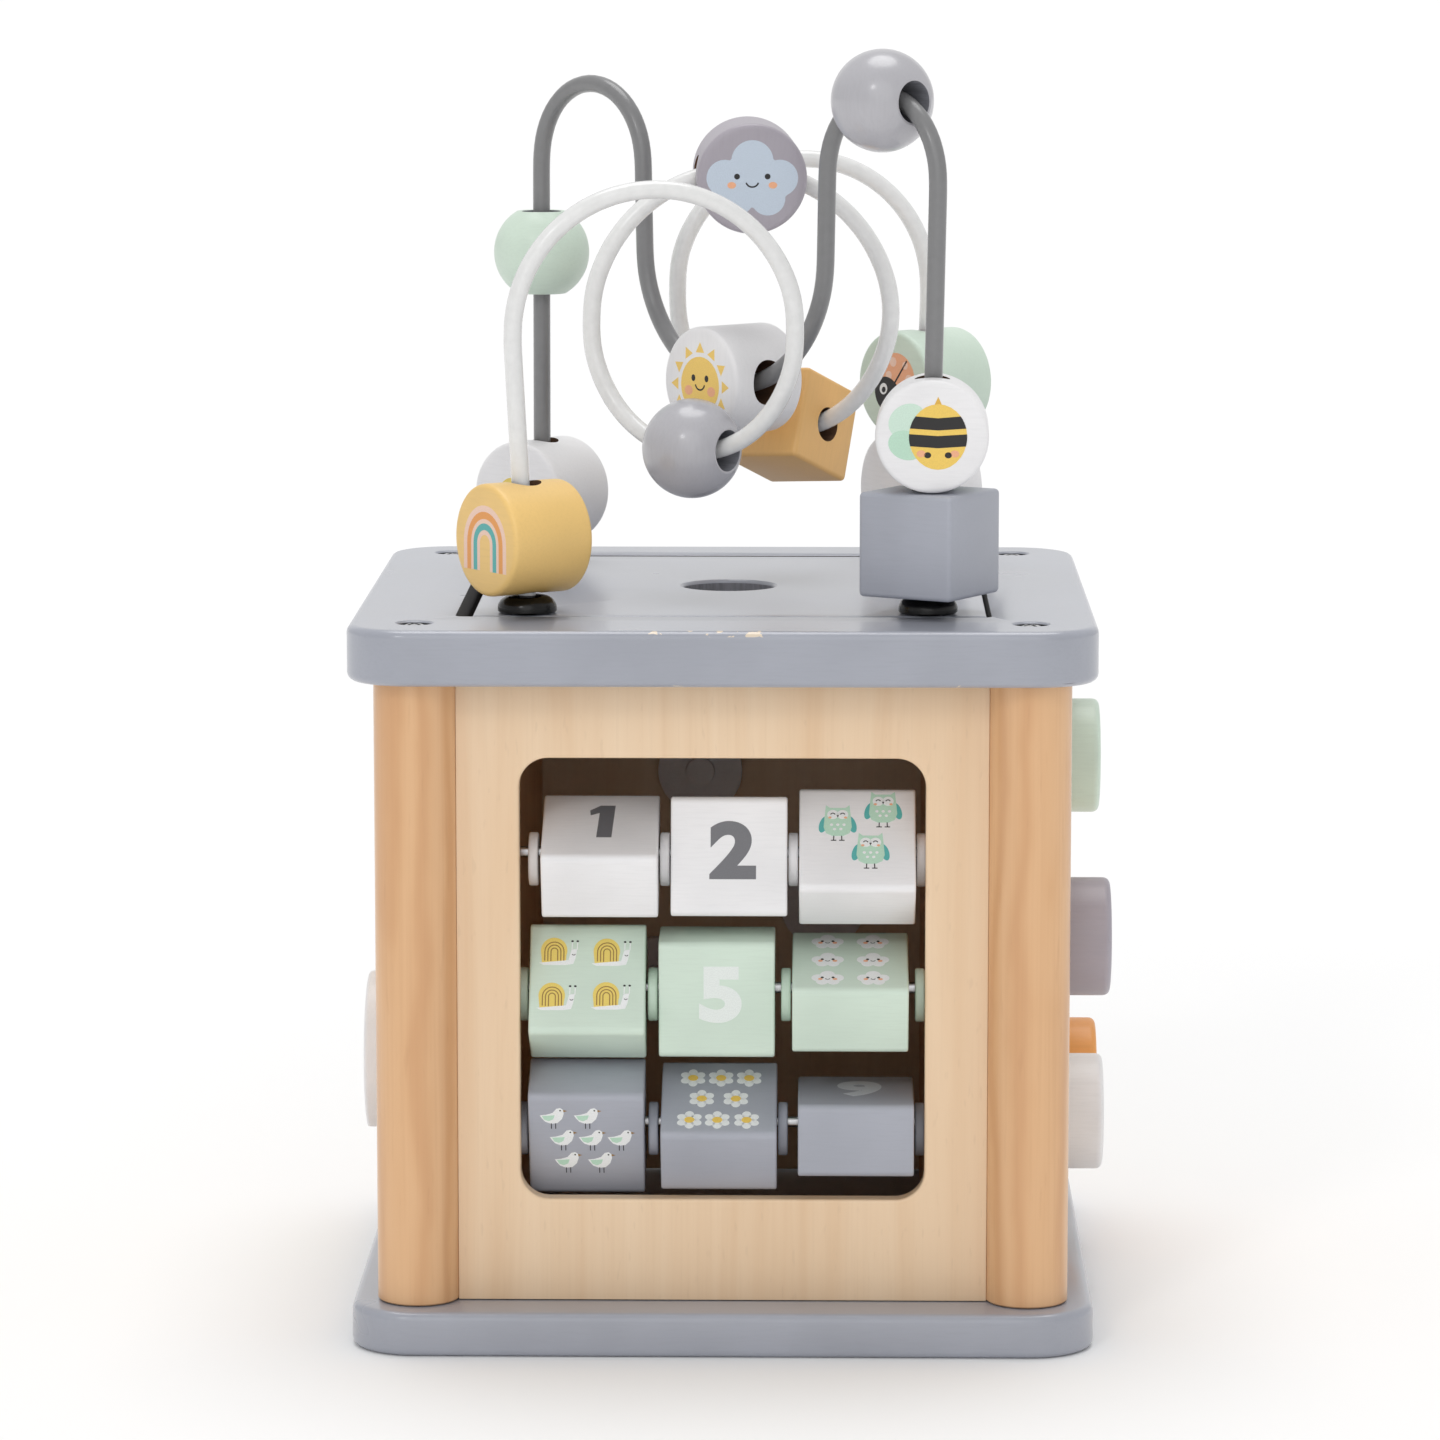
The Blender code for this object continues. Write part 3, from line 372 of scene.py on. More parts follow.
def ink(name, colour):
    """Printed colour with the paint's own slight unevenness."""
    look = Look("ink_" + name, 0.45)
    grit = look.noise((3600, 3600, 3600), 2.0)
    tone = look.mix(look.grey_ramp(grit, 0.35, 0.7), scaled(colour, 0.95), scaled(colour, 1.05))
    look.bump(grit, 0.08, 0.0001)
    return look.colour(tone)


PAINT = {
    "white": linear(236, 235, 236),
    "mint": linear(208, 225, 210),
    "grey": linear(168, 171, 181),
    "ash": linear(178, 177, 182),
    "stone": linear(166, 160, 169),
    "orange": linear(236, 164, 90),
    "yellow": linear(240, 200, 124),
    "honey": linear(234, 184, 114),
    "plate": linear(160, 163, 173),
}
SATIN, GLOSSY = 0.42, 0.30
SATIN_COAT = 0.08
GLOSS_COAT = {"plate": 0.45, "ash": 0.50}
SLOT = {key: key + "_paint" for key in ("white", "mint", "grey", "orange", "yellow")}
SLOT.update(ash="grey_paint", stone="grey_paint", honey="yellow_paint", plate="painted_grey_wood")
PAINTS = {
    (key, grain): paint(f"paint_{key}_{grain}", key, grain) for key in PAINT for grain in "xz"
}
WORN_PAINT = paint("paint_plate_worn", "plate", "x", chips=True)
BIRCH = birch("birch_upright")
# A dark copy of the birch for the ledge under the lid: painted shade in the gap round the lid.
BIRCH_LEDGE_SHADE = birch("birch_ledge_painted_shade", "y", (150, 126, 98), (132, 108, 82))
# A warmer copy of the birch for the inner walls: painted warm light inside the shaded box.
BIRCH_INNER_WARM_LIGHT = birch("birch_inner_painted_light", "z", (246, 190, 130), (230, 166, 108))
# Bare wood darkened far below its own pale tone: painted shade inside the beads' drilled holes.
BARE_WOOD_IN_SHADE = bare_wood("raw_wood_painted_shade", linear(96, 66, 44))
PALE_RAW = bare_wood("pale_raw_wood", linear(205, 180, 148))
# Near-black dull wood as painted shade: on the walls of the lid's opening and in the screw recesses.
SHADED = bare_wood("painted_shade_edge", linear(38, 36, 36))
# Grey paint darkened as painted shade, for the finger hole's wall and the insides of the balls' holes.
HOLE_PAINT_SHADE = bare_wood("hole_grey_painted_shade", linear(122, 123, 130))
BLACK = coated("black_cap", linear(14, 13, 12), 0.24, 0.1, 0.3)
WIRE_WHITE = coated("wire_coat_white", linear(230, 230, 229), 0.26)
WIRE_GREY = coated("wire_coat_grey", linear(126, 126, 127), 0.30, 0.25)
STEEL = steel("bright_steel", 200, 200, 202)
INKS = {
    name: ink(name, linear(*colour))
    for name, colour in {
        "grey": (112, 112, 116),
        "dark": (30, 28, 28),
        "white": (238, 240, 240),
        "soft_white": (228, 234, 230),
        "shell": (234, 208, 106),
        "mint": (188, 222, 200),
        "pale_mint": (206, 230, 214),
        "teal": (90, 178, 174),
        "yellow": (242, 204, 98),
        "sun": (244, 206, 110),
        "brown": (150, 116, 62),
        "peach": (240, 176, 136),
        "orange": (236, 160, 84),
        "pink": (244, 208, 188),
        "cloud": (196, 208, 222),
        "gold": (226, 178, 72),
        "plate": (212, 216, 222),
    }.items()
}


# ---- mesh helpers


def rotation(degrees, axis):
    return Matrix.Rotation(math.radians(degrees), 4, axis)


def along(direction):
    """The turn that lays something made along Z along another axis."""
    return {"x": rotation(90, "Y"), "y": rotation(-90, "X"), "z": Matrix()}[direction]


def at(x, y, z, direction="z"):
    return Matrix.Translation((x, y, z)) @ along(direction)


def around(x, y, rx, ry, start, end, steps):
    """Points along part of an oval, between two angles in degrees."""
    angles = [math.radians(start + (end - start) * step / steps) for step in range(steps + 1)]
    return [(x + rx * math.cos(angle), y + ry * math.sin(angle)) for angle in angles]


def mirrored(points):
    """The points on the other side of the Y axis, in the order that closes an outline."""
    return [(-x, y) for x, y in reversed(points)]


def mesh_from(name, bm):
    mesh = bpy.data.meshes.new(name)
    bm.to_mesh(mesh)
    bm.free()
    return mesh


def in_scene(name, data):
    """A new object in the scene."""
    obj = bpy.data.objects.new(name, data)
    bpy.context.scene.collection.objects.link(obj)
    return obj


def finished_mesh(obj):
    """The mesh that the object shows, as a mesh of its own."""
    bpy.context.view_layer.update()
    graph = bpy.context.evaluated_depsgraph_get()
    return bpy.data.meshes.new_from_object(obj.evaluated_get(graph))


def smooth(mesh, angle):
    mesh.shade_smooth()
    mesh.set_sharp_from_angle(angle=math.radians(angle))


def piece(name, bm, materials, body, matrix=None, stands_for=None, slot=None, angle=35):
    """Turns a bmesh into a finished piece that rides on a body."""
    bmesh.ops.recalc_face_normals(bm, faces=bm.faces)
    mesh = mesh_from(name, bm)
    smooth(mesh, angle)
    obj = in_scene(name, mesh)
    for material in materials if isinstance(materials, list) else [materials]:
        mesh.materials.append(material)
    obj.matrix_world = matrix or Matrix()
    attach(obj, body)
    if stands_for:
        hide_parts(stands_for)
    return obj


def slab(size, corner=0.0, edge=0.0, corner_segments=12, edge_segments=3):
    """A centred box; its upright corners are rounded and its edges softened if a radius is given."""
    bm = bmesh.new()
    bmesh.ops.create_cube(bm, size=1.0)
    bmesh.ops.scale(bm, vec=size, verts=bm.verts)
    if corner:
        upright = [e for e in bm.edges if abs(e.verts[0].co.z - e.verts[1].co.z) > size[2] / 2]
        bmesh.ops.bevel(
            bm, geom=upright, offset=corner, segments=corner_segments, profile=0.5, affect="EDGES"
        )
    if edge:
        sharp = [e for e in bm.edges if e.calc_face_angle(0) > math.radians(40)]
        bmesh.ops.bevel(
            bm, geom=sharp, offset=edge, segments=edge_segments, profile=0.5, affect="EDGES"
        )
    return bm


def turned(profile, steps=64, closed=False):
    """A profile of (radius, height) points turned about Z; a closed one is a ring."""
    bm = bmesh.new()
    poles = {i: bm.verts.new((0, 0, z)) for i, (r, z) in enumerate(profile) if r == 0}
    columns = []
    for step in range(steps):
        angle = 2 * math.pi * step / steps
        column = []
        for i, (r, z) in enumerate(profile):
            point = (r * math.cos(angle), r * math.sin(angle), z)
            column.append(poles[i] if i in poles else bm.verts.new(point))
        columns.append(column)
    count = len(profile)
    for step, this in enumerate(columns):
        other = columns[(step + 1) % steps]
        for i in range(count if closed else count - 1):
            j = (i + 1) % count
            corners = list(dict.fromkeys([this[i], this[j], other[j], other[i]]))
            if len(corners) > 2:
                bm.faces.new(corners)
    return bm


def rounded(points, radius, steps, closed=False):
    """The points with each inner corner replaced by a small curve."""
    points = [Vector(point) for point in points]
    count = len(points)
    result = []
    for i, point in enumerate(points):
        if not closed and i in (0, count - 1):
            result.append(tuple(point))
            continue
        before = points[i - 1] - point
        after = points[(i + 1) % count] - point
        reach = min(radius, before.length * 0.49, after.length * 0.49)
        start = point + before.normalized() * reach
        end = point + after.normalized() * reach
        for step in range(steps + 1):
            t = step / steps
            curve = start * (1 - t) ** 2 + point * 2 * t * (1 - t) + end * t**2
            result.append(tuple(curve))
    return result


def dowel(radius, start, end, chamfer, steps):
    """A round stick along Z with chamfered ends."""
    rim = radius - chamfer
    inward = math.copysign(chamfer, end - start)
    profile = [(0, start), (rim, start), (radius, start + inward)]
    profile += [(radius, end - inward), (rim, end), (0, end)]
    return turned(profile, steps)


def disc_side(radius, half, corner, steps):
    """The outline of a thick disc, from the middle of its top round to the middle of its bottom."""
    return rounded([(0, half), (radius, half), (radius, -half), (0, -half)], corner, steps)


def divided(points, most):
    """The same outline with long straight stretches cut into equal lengths."""
    result = [points[0]]
    for start, end in zip(points, points[1:]):
        a, b = Vector(start), Vector(end)
        parts = max(1, math.ceil((b - a).length / most))
        result += [tuple(a.lerp(b, k / parts)) for k in range(1, parts + 1)]
    return result


def cut(obj, bm, matrix, inner=None, is_inner=None):
    """Cuts a shape out of a piece for good; faces that is_inner picks get the second material."""
    bmesh.ops.recalc_face_normals(bm, faces=bm.faces)
    cutter = in_scene("cutter", mesh_from("cutter", bm))
    cutter.matrix_world = matrix
    modifier = obj.modifiers.new("Cut", "BOOLEAN")
    modifier.operation = "DIFFERENCE"
    modifier.solver = "EXACT"
    modifier.object = cutter
    result = finished_mesh(obj)
    obj.modifiers.clear()
    obj.data = result
    bpy.data.objects.remove(cutter)
    if inner:
        result.materials.append(inner)
        for face in result.polygons:
            if is_inner(face):
                face.material_index = len(result.materials) - 1
    smooth(result, 32)


def wall_within(radius, x=0.0, y=0.0):
    """Picks the faces of a round hole's wall, for a hole along the piece's own Z."""

    def is_wall(face):
        away = math.hypot(face.center.x - x, face.center.y - y)
        return away < radius and abs(face.normal.z) < 0.5

    return is_wall


def cylinder(radius, length, sides):
    bm = bmesh.new()
    bmesh.ops.create_cone(
        bm, cap_ends=True, segments=sides, radius1=radius, radius2=radius, depth=length
    )
    return bm


def soften(obj, width, segments):
    """Rounds the sharp edges by a modifier; the mesh stays."""
    bevel = obj.modifiers.new("Edge", "BEVEL")
    bevel.width = width
    bevel.segments = segments
    bevel.limit_method = "ANGLE"
    bevel.angle_limit = math.radians(50)


def dress(name, material, edge):
    """Gives a CAD node its material and softened edges; its mesh stays."""
    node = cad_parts[name]
    node.data.materials.clear()
    node.data.materials.append(material)
    weld = node.modifiers.new("Weld", "WELD")
    weld.merge_threshold = 0.00001
    soften(node, edge, 2)


def corner_name(x, y):
    return ("front_" if y < 0 else "back_") + ("left" if x < 0 else "right")


# ---- printed pictures


class Picture:
    """Thin printed shapes on a flat face: x to the right, y up, both in millimetres."""

    def __init__(self, name, matrix, body):
        self.name, self.matrix, self.body = name, matrix, body
        self.bm = bmesh.new()
        self.materials = []

    def move(self, x, y, size=1.0, turn=0.0):
        """Where the next shapes go, how large they are and how far they are turned."""
        self.x, self.y, self.size, self.turn = x, y, size, math.radians(turn)

    def spot(self, x, y):
        c, s = math.cos(self.turn), math.sin(self.turn)
        return (
            (self.x + self.size * (x * c - y * s)) / 1000,
            (self.y + self.size * (x * s + y * c)) / 1000,
        )

    def index(self, colour):
        material = INKS[colour]
        if material not in self.materials:
            self.materials.append(material)
        return self.materials.index(material)

    def shape(self, points, colour, level=1):
        """A filled outline, printed on top of those with a lower level."""
        spots = [self.spot(x, y) for x, y in points]
        low = [self.bm.verts.new((x, y, -0.00002)) for x, y in spots]
        high = [self.bm.verts.new((x, y, 0.00003 * level)) for x, y in spots]
        faces = [self.bm.faces.new(low), self.bm.faces.new(high)]
        for i in range(len(spots)):
            j = (i + 1) % len(spots)
            faces.append(self.bm.faces.new((low[i], low[j], high[j], high[i])))
        for face in faces:
            face.material_index = self.index(colour)

    def oval(self, x, y, rx, ry, colour, level=1, turn=0.0):
        c, s = math.cos(math.radians(turn)), math.sin(math.radians(turn))
        rim = around(0, 0, rx, ry, 0, 360, 28)[:-1]
        self.shape([(x + a * c - b * s, y + a * s + b * c) for a, b in rim], colour, level)

    def line(self, points, width, colour, level=2):
        """An open stroke of even width."""
        points = [Vector(point) for point in points]
        left, right = [], []
        for i, point in enumerate(points):
            before = points[max(i - 1, 0)]
            after = points[min(i + 1, len(points) - 1)]
            side = (after - before).normalized().orthogonal() * width / 2
            left.append(tuple(point + side))
            right.append(tuple(point - side))
        self.shape(left + right[::-1], colour, level)

    def arc(self, x, y, radius, width, start, end, colour, level=2):
        """A stroke along part of a circle."""
        self.line(around(x, y, radius, radius, start, end, 20), width, colour, level)

    def blob(self, circles, colour, level=1):
        """The outline round several overlapping discs, seen from the first one's middle."""
        cx, cy = circles[0][:2]
        points = []
        for step in range(90):
            angle = math.radians(4 * step)
            reach = 0.0
            ux, uy = math.cos(angle), math.sin(angle)
            for x, y, radius in circles:
                forward = (x - cx) * ux + (y - cy) * uy
                beside = (x - cx) * uy - (y - cy) * ux
                if abs(beside) < radius:
                    reach = max(reach, forward + math.sqrt(radius**2 - beside**2))
            points.append((cx + reach * ux, cy + reach * uy))
        self.shape(points, colour, level)

    def text(self, figure, height, colour):
        """A figure in Blender's own typeface, thickened and widened."""
        curve = bpy.data.curves.new("figure", "FONT")
        curve.body = figure
        curve.offset = 0.045
        curve.align_x = "CENTER"
        curve.align_y = "CENTER"
        curve.extrude = 0.01
        made = in_scene("figure", curve)
        mesh = finished_mesh(made)
        bpy.data.objects.remove(made)
        xs = [v.co.x for v in mesh.vertices]
        ys = [v.co.y for v in mesh.vertices]
        factor = height / (max(ys) - min(ys))
        middle_x, middle_y = (max(xs) + min(xs)) / 2, (max(ys) + min(ys)) / 2
        for vertex in mesh.vertices:
            across = (vertex.co.x - middle_x) * factor * 1.20
            x, y = self.spot(across, (vertex.co.y - middle_y) * factor)
            vertex.co = (x, y, 0.00004 if vertex.co.z > 0 else -0.00002)
        known = len(self.bm.faces)
        self.bm.from_mesh(mesh)
        bpy.data.meshes.remove(mesh)
        self.bm.faces.ensure_lookup_table()
        for face in self.bm.faces[known:]:
            face.material_index = self.index(colour)

    def done(self):
        piece(self.name, self.bm, self.materials, self.body, self.matrix, angle=20)


def draw_rainbow(p):
    edges = (8.0, 6.7, 5.2, 4.3, 2.9, 1.9)
    for colour, outer, inner in zip(("pink", "orange", "pink", "teal", "pink"), edges, edges[1:]):
        middle, width = (outer + inner) / 2, outer - inner
        leg = [(middle, -5.6), (middle, -3.0), (middle, -1.2)]
        bow = around(0, 0, middle, middle, 0, 180, 20)
        p.line([*leg, *bow, *mirrored(leg)], width, colour, 1)


def draw_cloud(p, colour="cloud", eye=0.55):
    """A cloud with two eyes, a smile and two cheeks."""
    lobes = [(0, 0, 5.4), (-5.2, 0.2, 3.5), (5.2, 0.2, 3.5)]
    lobes += [(0, 3.4, 4.0), (-3.0, -3.6, 3.3), (3.0, -3.6, 3.3)]
    p.blob(lobes, colour, 1)
    for side in (-1, 1):
        p.oval(side * 2.9, 0.5, eye, eye, "dark", 2)
        p.oval(side * 3.915, -1.15, eye * 1.5, eye * 1.15, "peach", 2)
    p.arc(0, -0.25, 1.24, eye * 0.55, 200, 340, "dark", 2)


def draw_sun(p):
    for ray in range(12):
        middle = math.radians(30 * ray)
        tip = (9.2 * math.cos(middle), 9.2 * math.sin(middle))
        sides = [(7.1 * math.cos(middle + d), 7.1 * math.sin(middle + d)) for d in (-0.19, 0.19)]
        p.shape([sides[0], tip, sides[1]], "sun", 1)
    p.oval(0, 0, 6.1, 6.1, "sun", 1)
    for side in (-1, 1):
        p.oval(side * 2.1, 1.5, 0.60, 0.72, "dark", 2)
        p.oval(side * 3.6, -1.2, 1.25, 1.05, "peach", 2)
    p.arc(0, 0.5, 1.5, 0.36, 195, 345, "dark", 2)


def draw_bee(p):
    p.oval(-6.6, 3.4, 4.2, 3.5, "pale_mint", 1, turn=35)
    p.oval(-6.8, -1.8, 3.9, 3.1, "mint", 2, turn=-20)
    p.shape([(-1.0, 6.4), (0, 8.6), (1.0, 6.4)], "gold", 1)
    p.oval(0, 0, 6.2, 7.0, "yellow", 3)
    for height in (3.1, -0.7):
        levels = [height + lift for lift in (1.3, 0.65, 0, -0.65, -1.3)]
        edge = [(6.2 * math.sqrt(1 - (y / 7.0) ** 2), y) for y in levels]
        bow_down, bow_up = (0, height + 0.9), (0, height - 1.7)
        p.shape([bow_down, *edge, bow_up, *mirrored(edge)], "dark", 4)
    for side in (-1, 1):
        p.oval(side * 2.2, -3.9, 0.75, 0.65, "dark", 4)
        p.oval(side * 3.6, -3.6, 0.95, 0.75, "peach", 4)


def draw_ladybird(p):
    p.oval(0, 1.8, 6.0, 5.4, "peach", 1)
    dots = ((-3.4, 3.6, 1.1), (3.2, 3.9, 1.2), (-2.6, 0.2, 1.0), (2.8, 0.4, 1.0), (0.2, 5.6, 0.9))
    for x, y, radius in dots:
        p.oval(x, y, radius, radius, "pink", 2)
    p.line([(0, 6.8), (0, -1.6)], 0.45, "dark", 2)
    p.oval(0, -3.6, 4.7, 3.9, "dark", 3)
    for side in (-1, 1):
        p.oval(side * 2.0, -3.4, 1.25, 1.35, "white", 4)
        p.oval(side * 1.8, -3.5, 0.6, 0.7, "dark", 5)


def draw_snail(p):
    body = [(-6.2, -3.8), (3.4, -2.9), (4.3, 0.6), (5.0, 0.9), (6.2, 1.0), (5.7, -2.2)]
    body += [(5.0, -4.2), (2.4, -4.6), (-4.6, -4.6)]
    p.shape(body, "white", 1)
    shell = around(-1.3, 0.4, 4.3, 4.5, 190, -20, 21)
    p.shape([(-5.2, -3.7), *shell, (2.6, -3.0)], "shell", 2)
    for radius in (3.1, 2.1, 1.1):
        start = (-1.2 - radius, -3.4 + 0.1 * radius)
        bow = around(-1.2, 0.1, radius, radius * 1.05, 180, 0, 15)
        p.line([start, *bow, (-1.2 + radius, -3.1)], 0.34, "brown", 3)
    for x in (4.5, 6.2):
        p.line([(x, 0.8), (x + 0.1, 3.4)], 0.3, "white", 1)
        p.oval(x + 0.1, 3.7, 0.42, 0.32, "dark", 2)
    p.arc(5.1, -0.6, 0.55, 0.22, 200, 340, "dark", 2)


def draw_owl(p):
    p.oval(-3.6, -0.8, 1.1, 2.5, "teal", 1, turn=-16)
    p.oval(3.6, -0.8, 1.1, 2.5, "teal", 1, turn=16)
    half = [(2.0, 4.1), (3.0, 4.9), (3.3, 2.0), (3.6, -1.6), (3.0, -3.4), (1.4, -4.2)]
    p.shape([*half, *mirrored(half)], "mint", 2)
    p.oval(-1.25, 2.1, 1.45, 1.35, "white", 3)
    p.oval(1.25, 2.1, 1.45, 1.35, "white", 3)
    for side in (-1, 1):
        p.arc(side * 1.25, 1.9, 0.6, 0.26, 20, 160, "dark", 4)
        p.oval(side * 2.0, 1.2, 0.42, 0.3, "peach", 4)
        p.line([(side * 1.0, -4.1), (side * 1.05, -5.5)], 0.26, "dark", 2)
        p.line([(side * 1.05 - 0.7, -5.5), (side * 1.05 + 0.7, -5.5)], 0.24, "dark", 2)
    p.shape([(-0.32, 1.9), (0.32, 1.9), (0, 1.2)], "dark", 4)
    for x, y in ((-1.6, -0.9), (0, -0.9), (1.6, -0.9), (-0.8, -2.2), (0.8, -2.2)):
        p.oval(x, y, 0.42, 0.36, "white", 3)


def draw_bird(p):
    body = [(-5.4, 0.7), (-3.0, 1.0), (-0.6, 1.8), (0.9, 3.7), (2.3, 4.0), (3.5, 3.1)]
    body += [(3.6, 1.4), (2.9, -0.9), (1.2, -2.7), (-1.2, -3.0), (-3.4, -2.1), (-4.6, -0.6)]
    p.shape(body, "white", 1)
    wing = [(-4.6, 0.5), (-2.4, 0.6), (0.2, 0.8), (-0.4, -1.0), (-2.0, -1.8), (-3.7, -1.2)]
    p.shape(wing, "mint", 2)
    p.shape([(3.4, 3.2), (4.9, 2.7), (3.5, 2.2)], "brown", 2)
    p.oval(2.3, 2.9, 0.32, 0.32, "dark", 2)
    for x in (-1.1, 0.5):
        p.line([(x, -2.8), (x, -5.2)], 0.32, "dark", 2)


def draw_daisy(p):
    for degrees in range(30, 360, 60):
        x, y = 2.5 * math.cos(math.radians(degrees)), 2.5 * math.sin(math.radians(degrees))
        p.oval(x, y, 1.75, 1.45, "white", 1, turn=degrees)
    p.oval(0, 0, 1.6, 1.45, "yellow", 2)


def draw_balloon(p):
    p.oval(0, 1.2, 2.6, 3.1, "peach", 1)
    p.shape([(-0.6, -2.4), (0.6, -2.4), (0, -1.6)], "orange", 2)
    p.line([(0, -2.4), (0.4, -3.6), (-0.2, -4.8)], 0.25, "dark", 1)


def draw_mini_cloud(p):
    draw_cloud(p, "white", 0.85)


# ---- body of the cube


SCREW_HEAD = [(0, 0.0013), (0.0018, 0.0012), (0.0032, 0.0007), (0.0040, 0.0001)]
SCREW_HEAD += [(0.0040, -0.0002), (0, -0.0002)]
SCREW_RECESS = [(0, -0.004), (0.0046, -0.004), (0.0048, -0.0006), (0.0056, 0.0004)]
SCREW_RECESS += [(0.0056, 0.002), (0, 0.002)]


def in_opening(face):
    """Whether a face is a wall of the lid's opening."""
    x, y = abs(face.center.x), abs(face.center.y - OPENING_CENTRE_Y)
    inside = x < OPENING_HALF[0] + 0.0001 and y < OPENING_HALF[1] + 0.0001
    return inside and abs(face.normal.z) < 0.5


def plate(thickness, middle):
    """One of the two square plates."""
    bm = slab((PLATE_SIDE, PLATE_SIDE, thickness), PLATE_CORNER, 0.0022, 16, 4)
    bmesh.ops.translate(bm, vec=(0, 0, middle), verts=bm.verts)
    return bm


def cut_screw_recess(obj, x, y, surface, turn):
    """A round hole, widened at its mouth, for a screw head."""

    def in_recess(face):
        away = math.hypot(abs(face.center.x) - POST_OFFSET, abs(face.center.y) - POST_OFFSET)
        return away < 0.0052 and 0.0012 < abs(face.center.z - surface) < 0.0050

    # The recess wall gets near-black painted shade.
    cut(obj, turned(SCREW_RECESS, 40), at(x, y, surface) @ turn, SHADED, in_recess)


def add_screw(name, x, y, z, turn):
    """A domed head with a cross slot, lying in its recess."""
    place = at(x, y, z) @ turn @ Matrix.Rotation(x * 37 + y * 11, 4, "Z")
    screw = piece(name, turned(SCREW_HEAD, 40), STEEL, BODY, place, slot="steel")
    for angle in (0, 90):
        slot = slab((0.0044, 0.0009, 0.0020))
        cut(screw, slot, place @ rotation(angle, "Z") @ at(0, 0, 0.0012))


def build_plates():
    base = plate(BASE_THICKNESS, BASE_THICKNESS / 2)
    look = PAINTS["plate", "x"]
    base = piece("base_plate_painted", base, look, BODY, None, "base_plate", SLOT["plate"])
    top = plate(TOP_THICKNESS, TOP_MIDDLE)
    top = piece("top_plate_painted", top, WORN_PAINT, BODY, None, "top_frame", SLOT["plate"])
    opening = slab((2 * OPENING_HALF[0], 2 * OPENING_HALF[1], 0.04), 0.002, 0, 6)
    # The opening's walls get near-black painted shade, so the gap round the lid reads dark.
    cut(top, opening, at(0, OPENING_CENTRE_Y, 0.19), SHADED, in_opening)
    upright, upside_down = rotation(0, "X"), rotation(180, "X")
    for x in (-POST_OFFSET, POST_OFFSET):
        for y in (-POST_OFFSET, POST_OFFSET):
            cut_screw_recess(top, x, y, LID_TOP, upright)
            cut_screw_recess(base, x, y, 0, upside_down)
            corner = corner_name(x, y)
            add_screw("screw_top_" + corner, x, y, LID_TOP - 0.0015, upright)
            add_screw("screw_base_" + corner, x, y, 0.0016, upside_down)
    top.modifiers.new("Soft", "WEIGHTED_NORMAL")


def build_posts():
    seed = 0
    for y in (-POST_OFFSET, POST_OFFSET):
        for x in (-POST_OFFSET, POST_OFFSET):
            seed += 1
            name = "post_" + corner_name(x, y)
            post = dowel(POST_RADIUS, *BETWEEN_PLATES, 0.0004, 72)
            wood = beech("beech_" + name, seed)
            piece("dowel_" + name, post, wood, BODY, at(x, y, 0), name, "beech")


def build_panels():
    low, high = BETWEEN_PLATES
    front = slab((2 * FRONT_HALF_WIDTH, PANEL_THICKNESS, high - low), 0, 0.0001)
    place = at(0, -PANEL_OUTER_FACE + PANEL_THICKNESS / 2, low + (high - low) / 2)
    front = piece("front_board", front, BIRCH, BODY, place, "front_panel", "birch")
    bottom, top = WINDOW_HEIGHTS
    window = slab((2 * WINDOW_HALF_WIDTH, top - bottom, 0.03), WINDOW_CORNER, 0, 14)
    cut(front, window, at(0, -PANEL_OUTER_FACE, (bottom + top) / 2, "y"))
    soften(front, 0.0007, 3)
    for name in ("slider_panel", "gear_panel", "sorter_panel"):
        dress(name, BIRCH, 0.0005)
    # The inner walls get the warmer birch copy: painted light.
    for name in ("inner_wall_left", "inner_wall_right"):
        dress(name, BIRCH_INNER_WARM_LIGHT, 0.0005)
    # The ledge in the lid's gap gets the dark birch copy: painted shade.
    dress("lid_ledge", BIRCH_LEDGE_SHADE, 0.0004)


def build_rods():
    inner, half = ROD_RADIUS + SPACER_SAG, SPACER_THICKNESS / 2
    ring = [(inner, half), (SPACER_RADIUS, half), (SPACER_RADIUS, -half), (inner, -half)]
    ring = rounded(ring, 0.0006, 3, closed=True)
    for row, height in ROD_HEIGHTS.items():
        rod = dowel(ROD_RADIUS, ROD_HALF_LENGTH, -ROD_HALF_LENGTH, 0.0002, 24)
        place = at(0, ROD_Y, height, "x")
        piece(f"steel_rod_{row}", rod, STEEL, BODY, place, f"axle_rod_{row}", "steel")
        look, slot = PAINTS[ROW_PAINT[row], "x"], SLOT[ROW_PAINT[row]]
        for i, x in enumerate(SPACER_X[row]):
            disc = turned(ring, 48, closed=True)
            place = at(x, ROD_Y, height - SPACER_SAG, "x")
            piece(f"spacer_{row}_{i + 1}", disc, look, BODY, place, slot=slot)


# ---- number blocks


def front_of(offset):
    """A picture's place on a face that looks to the front, this far from the middle."""
    face = Matrix(((1, 0, 0, 0), (0, 0, -1, 0), (0, 1, 0, 0), (0, 0, 0, 1)))
    return Matrix.Translation((0, -offset, 0)) @ face


def rows(counts, wide, high):
    """Places for several small pictures in rows that are read from the top."""
    return [
        ((i - (count - 1) / 2) * wide, high - line * high)
        for line, count in enumerate(counts)
        for i in range(count)
    ]


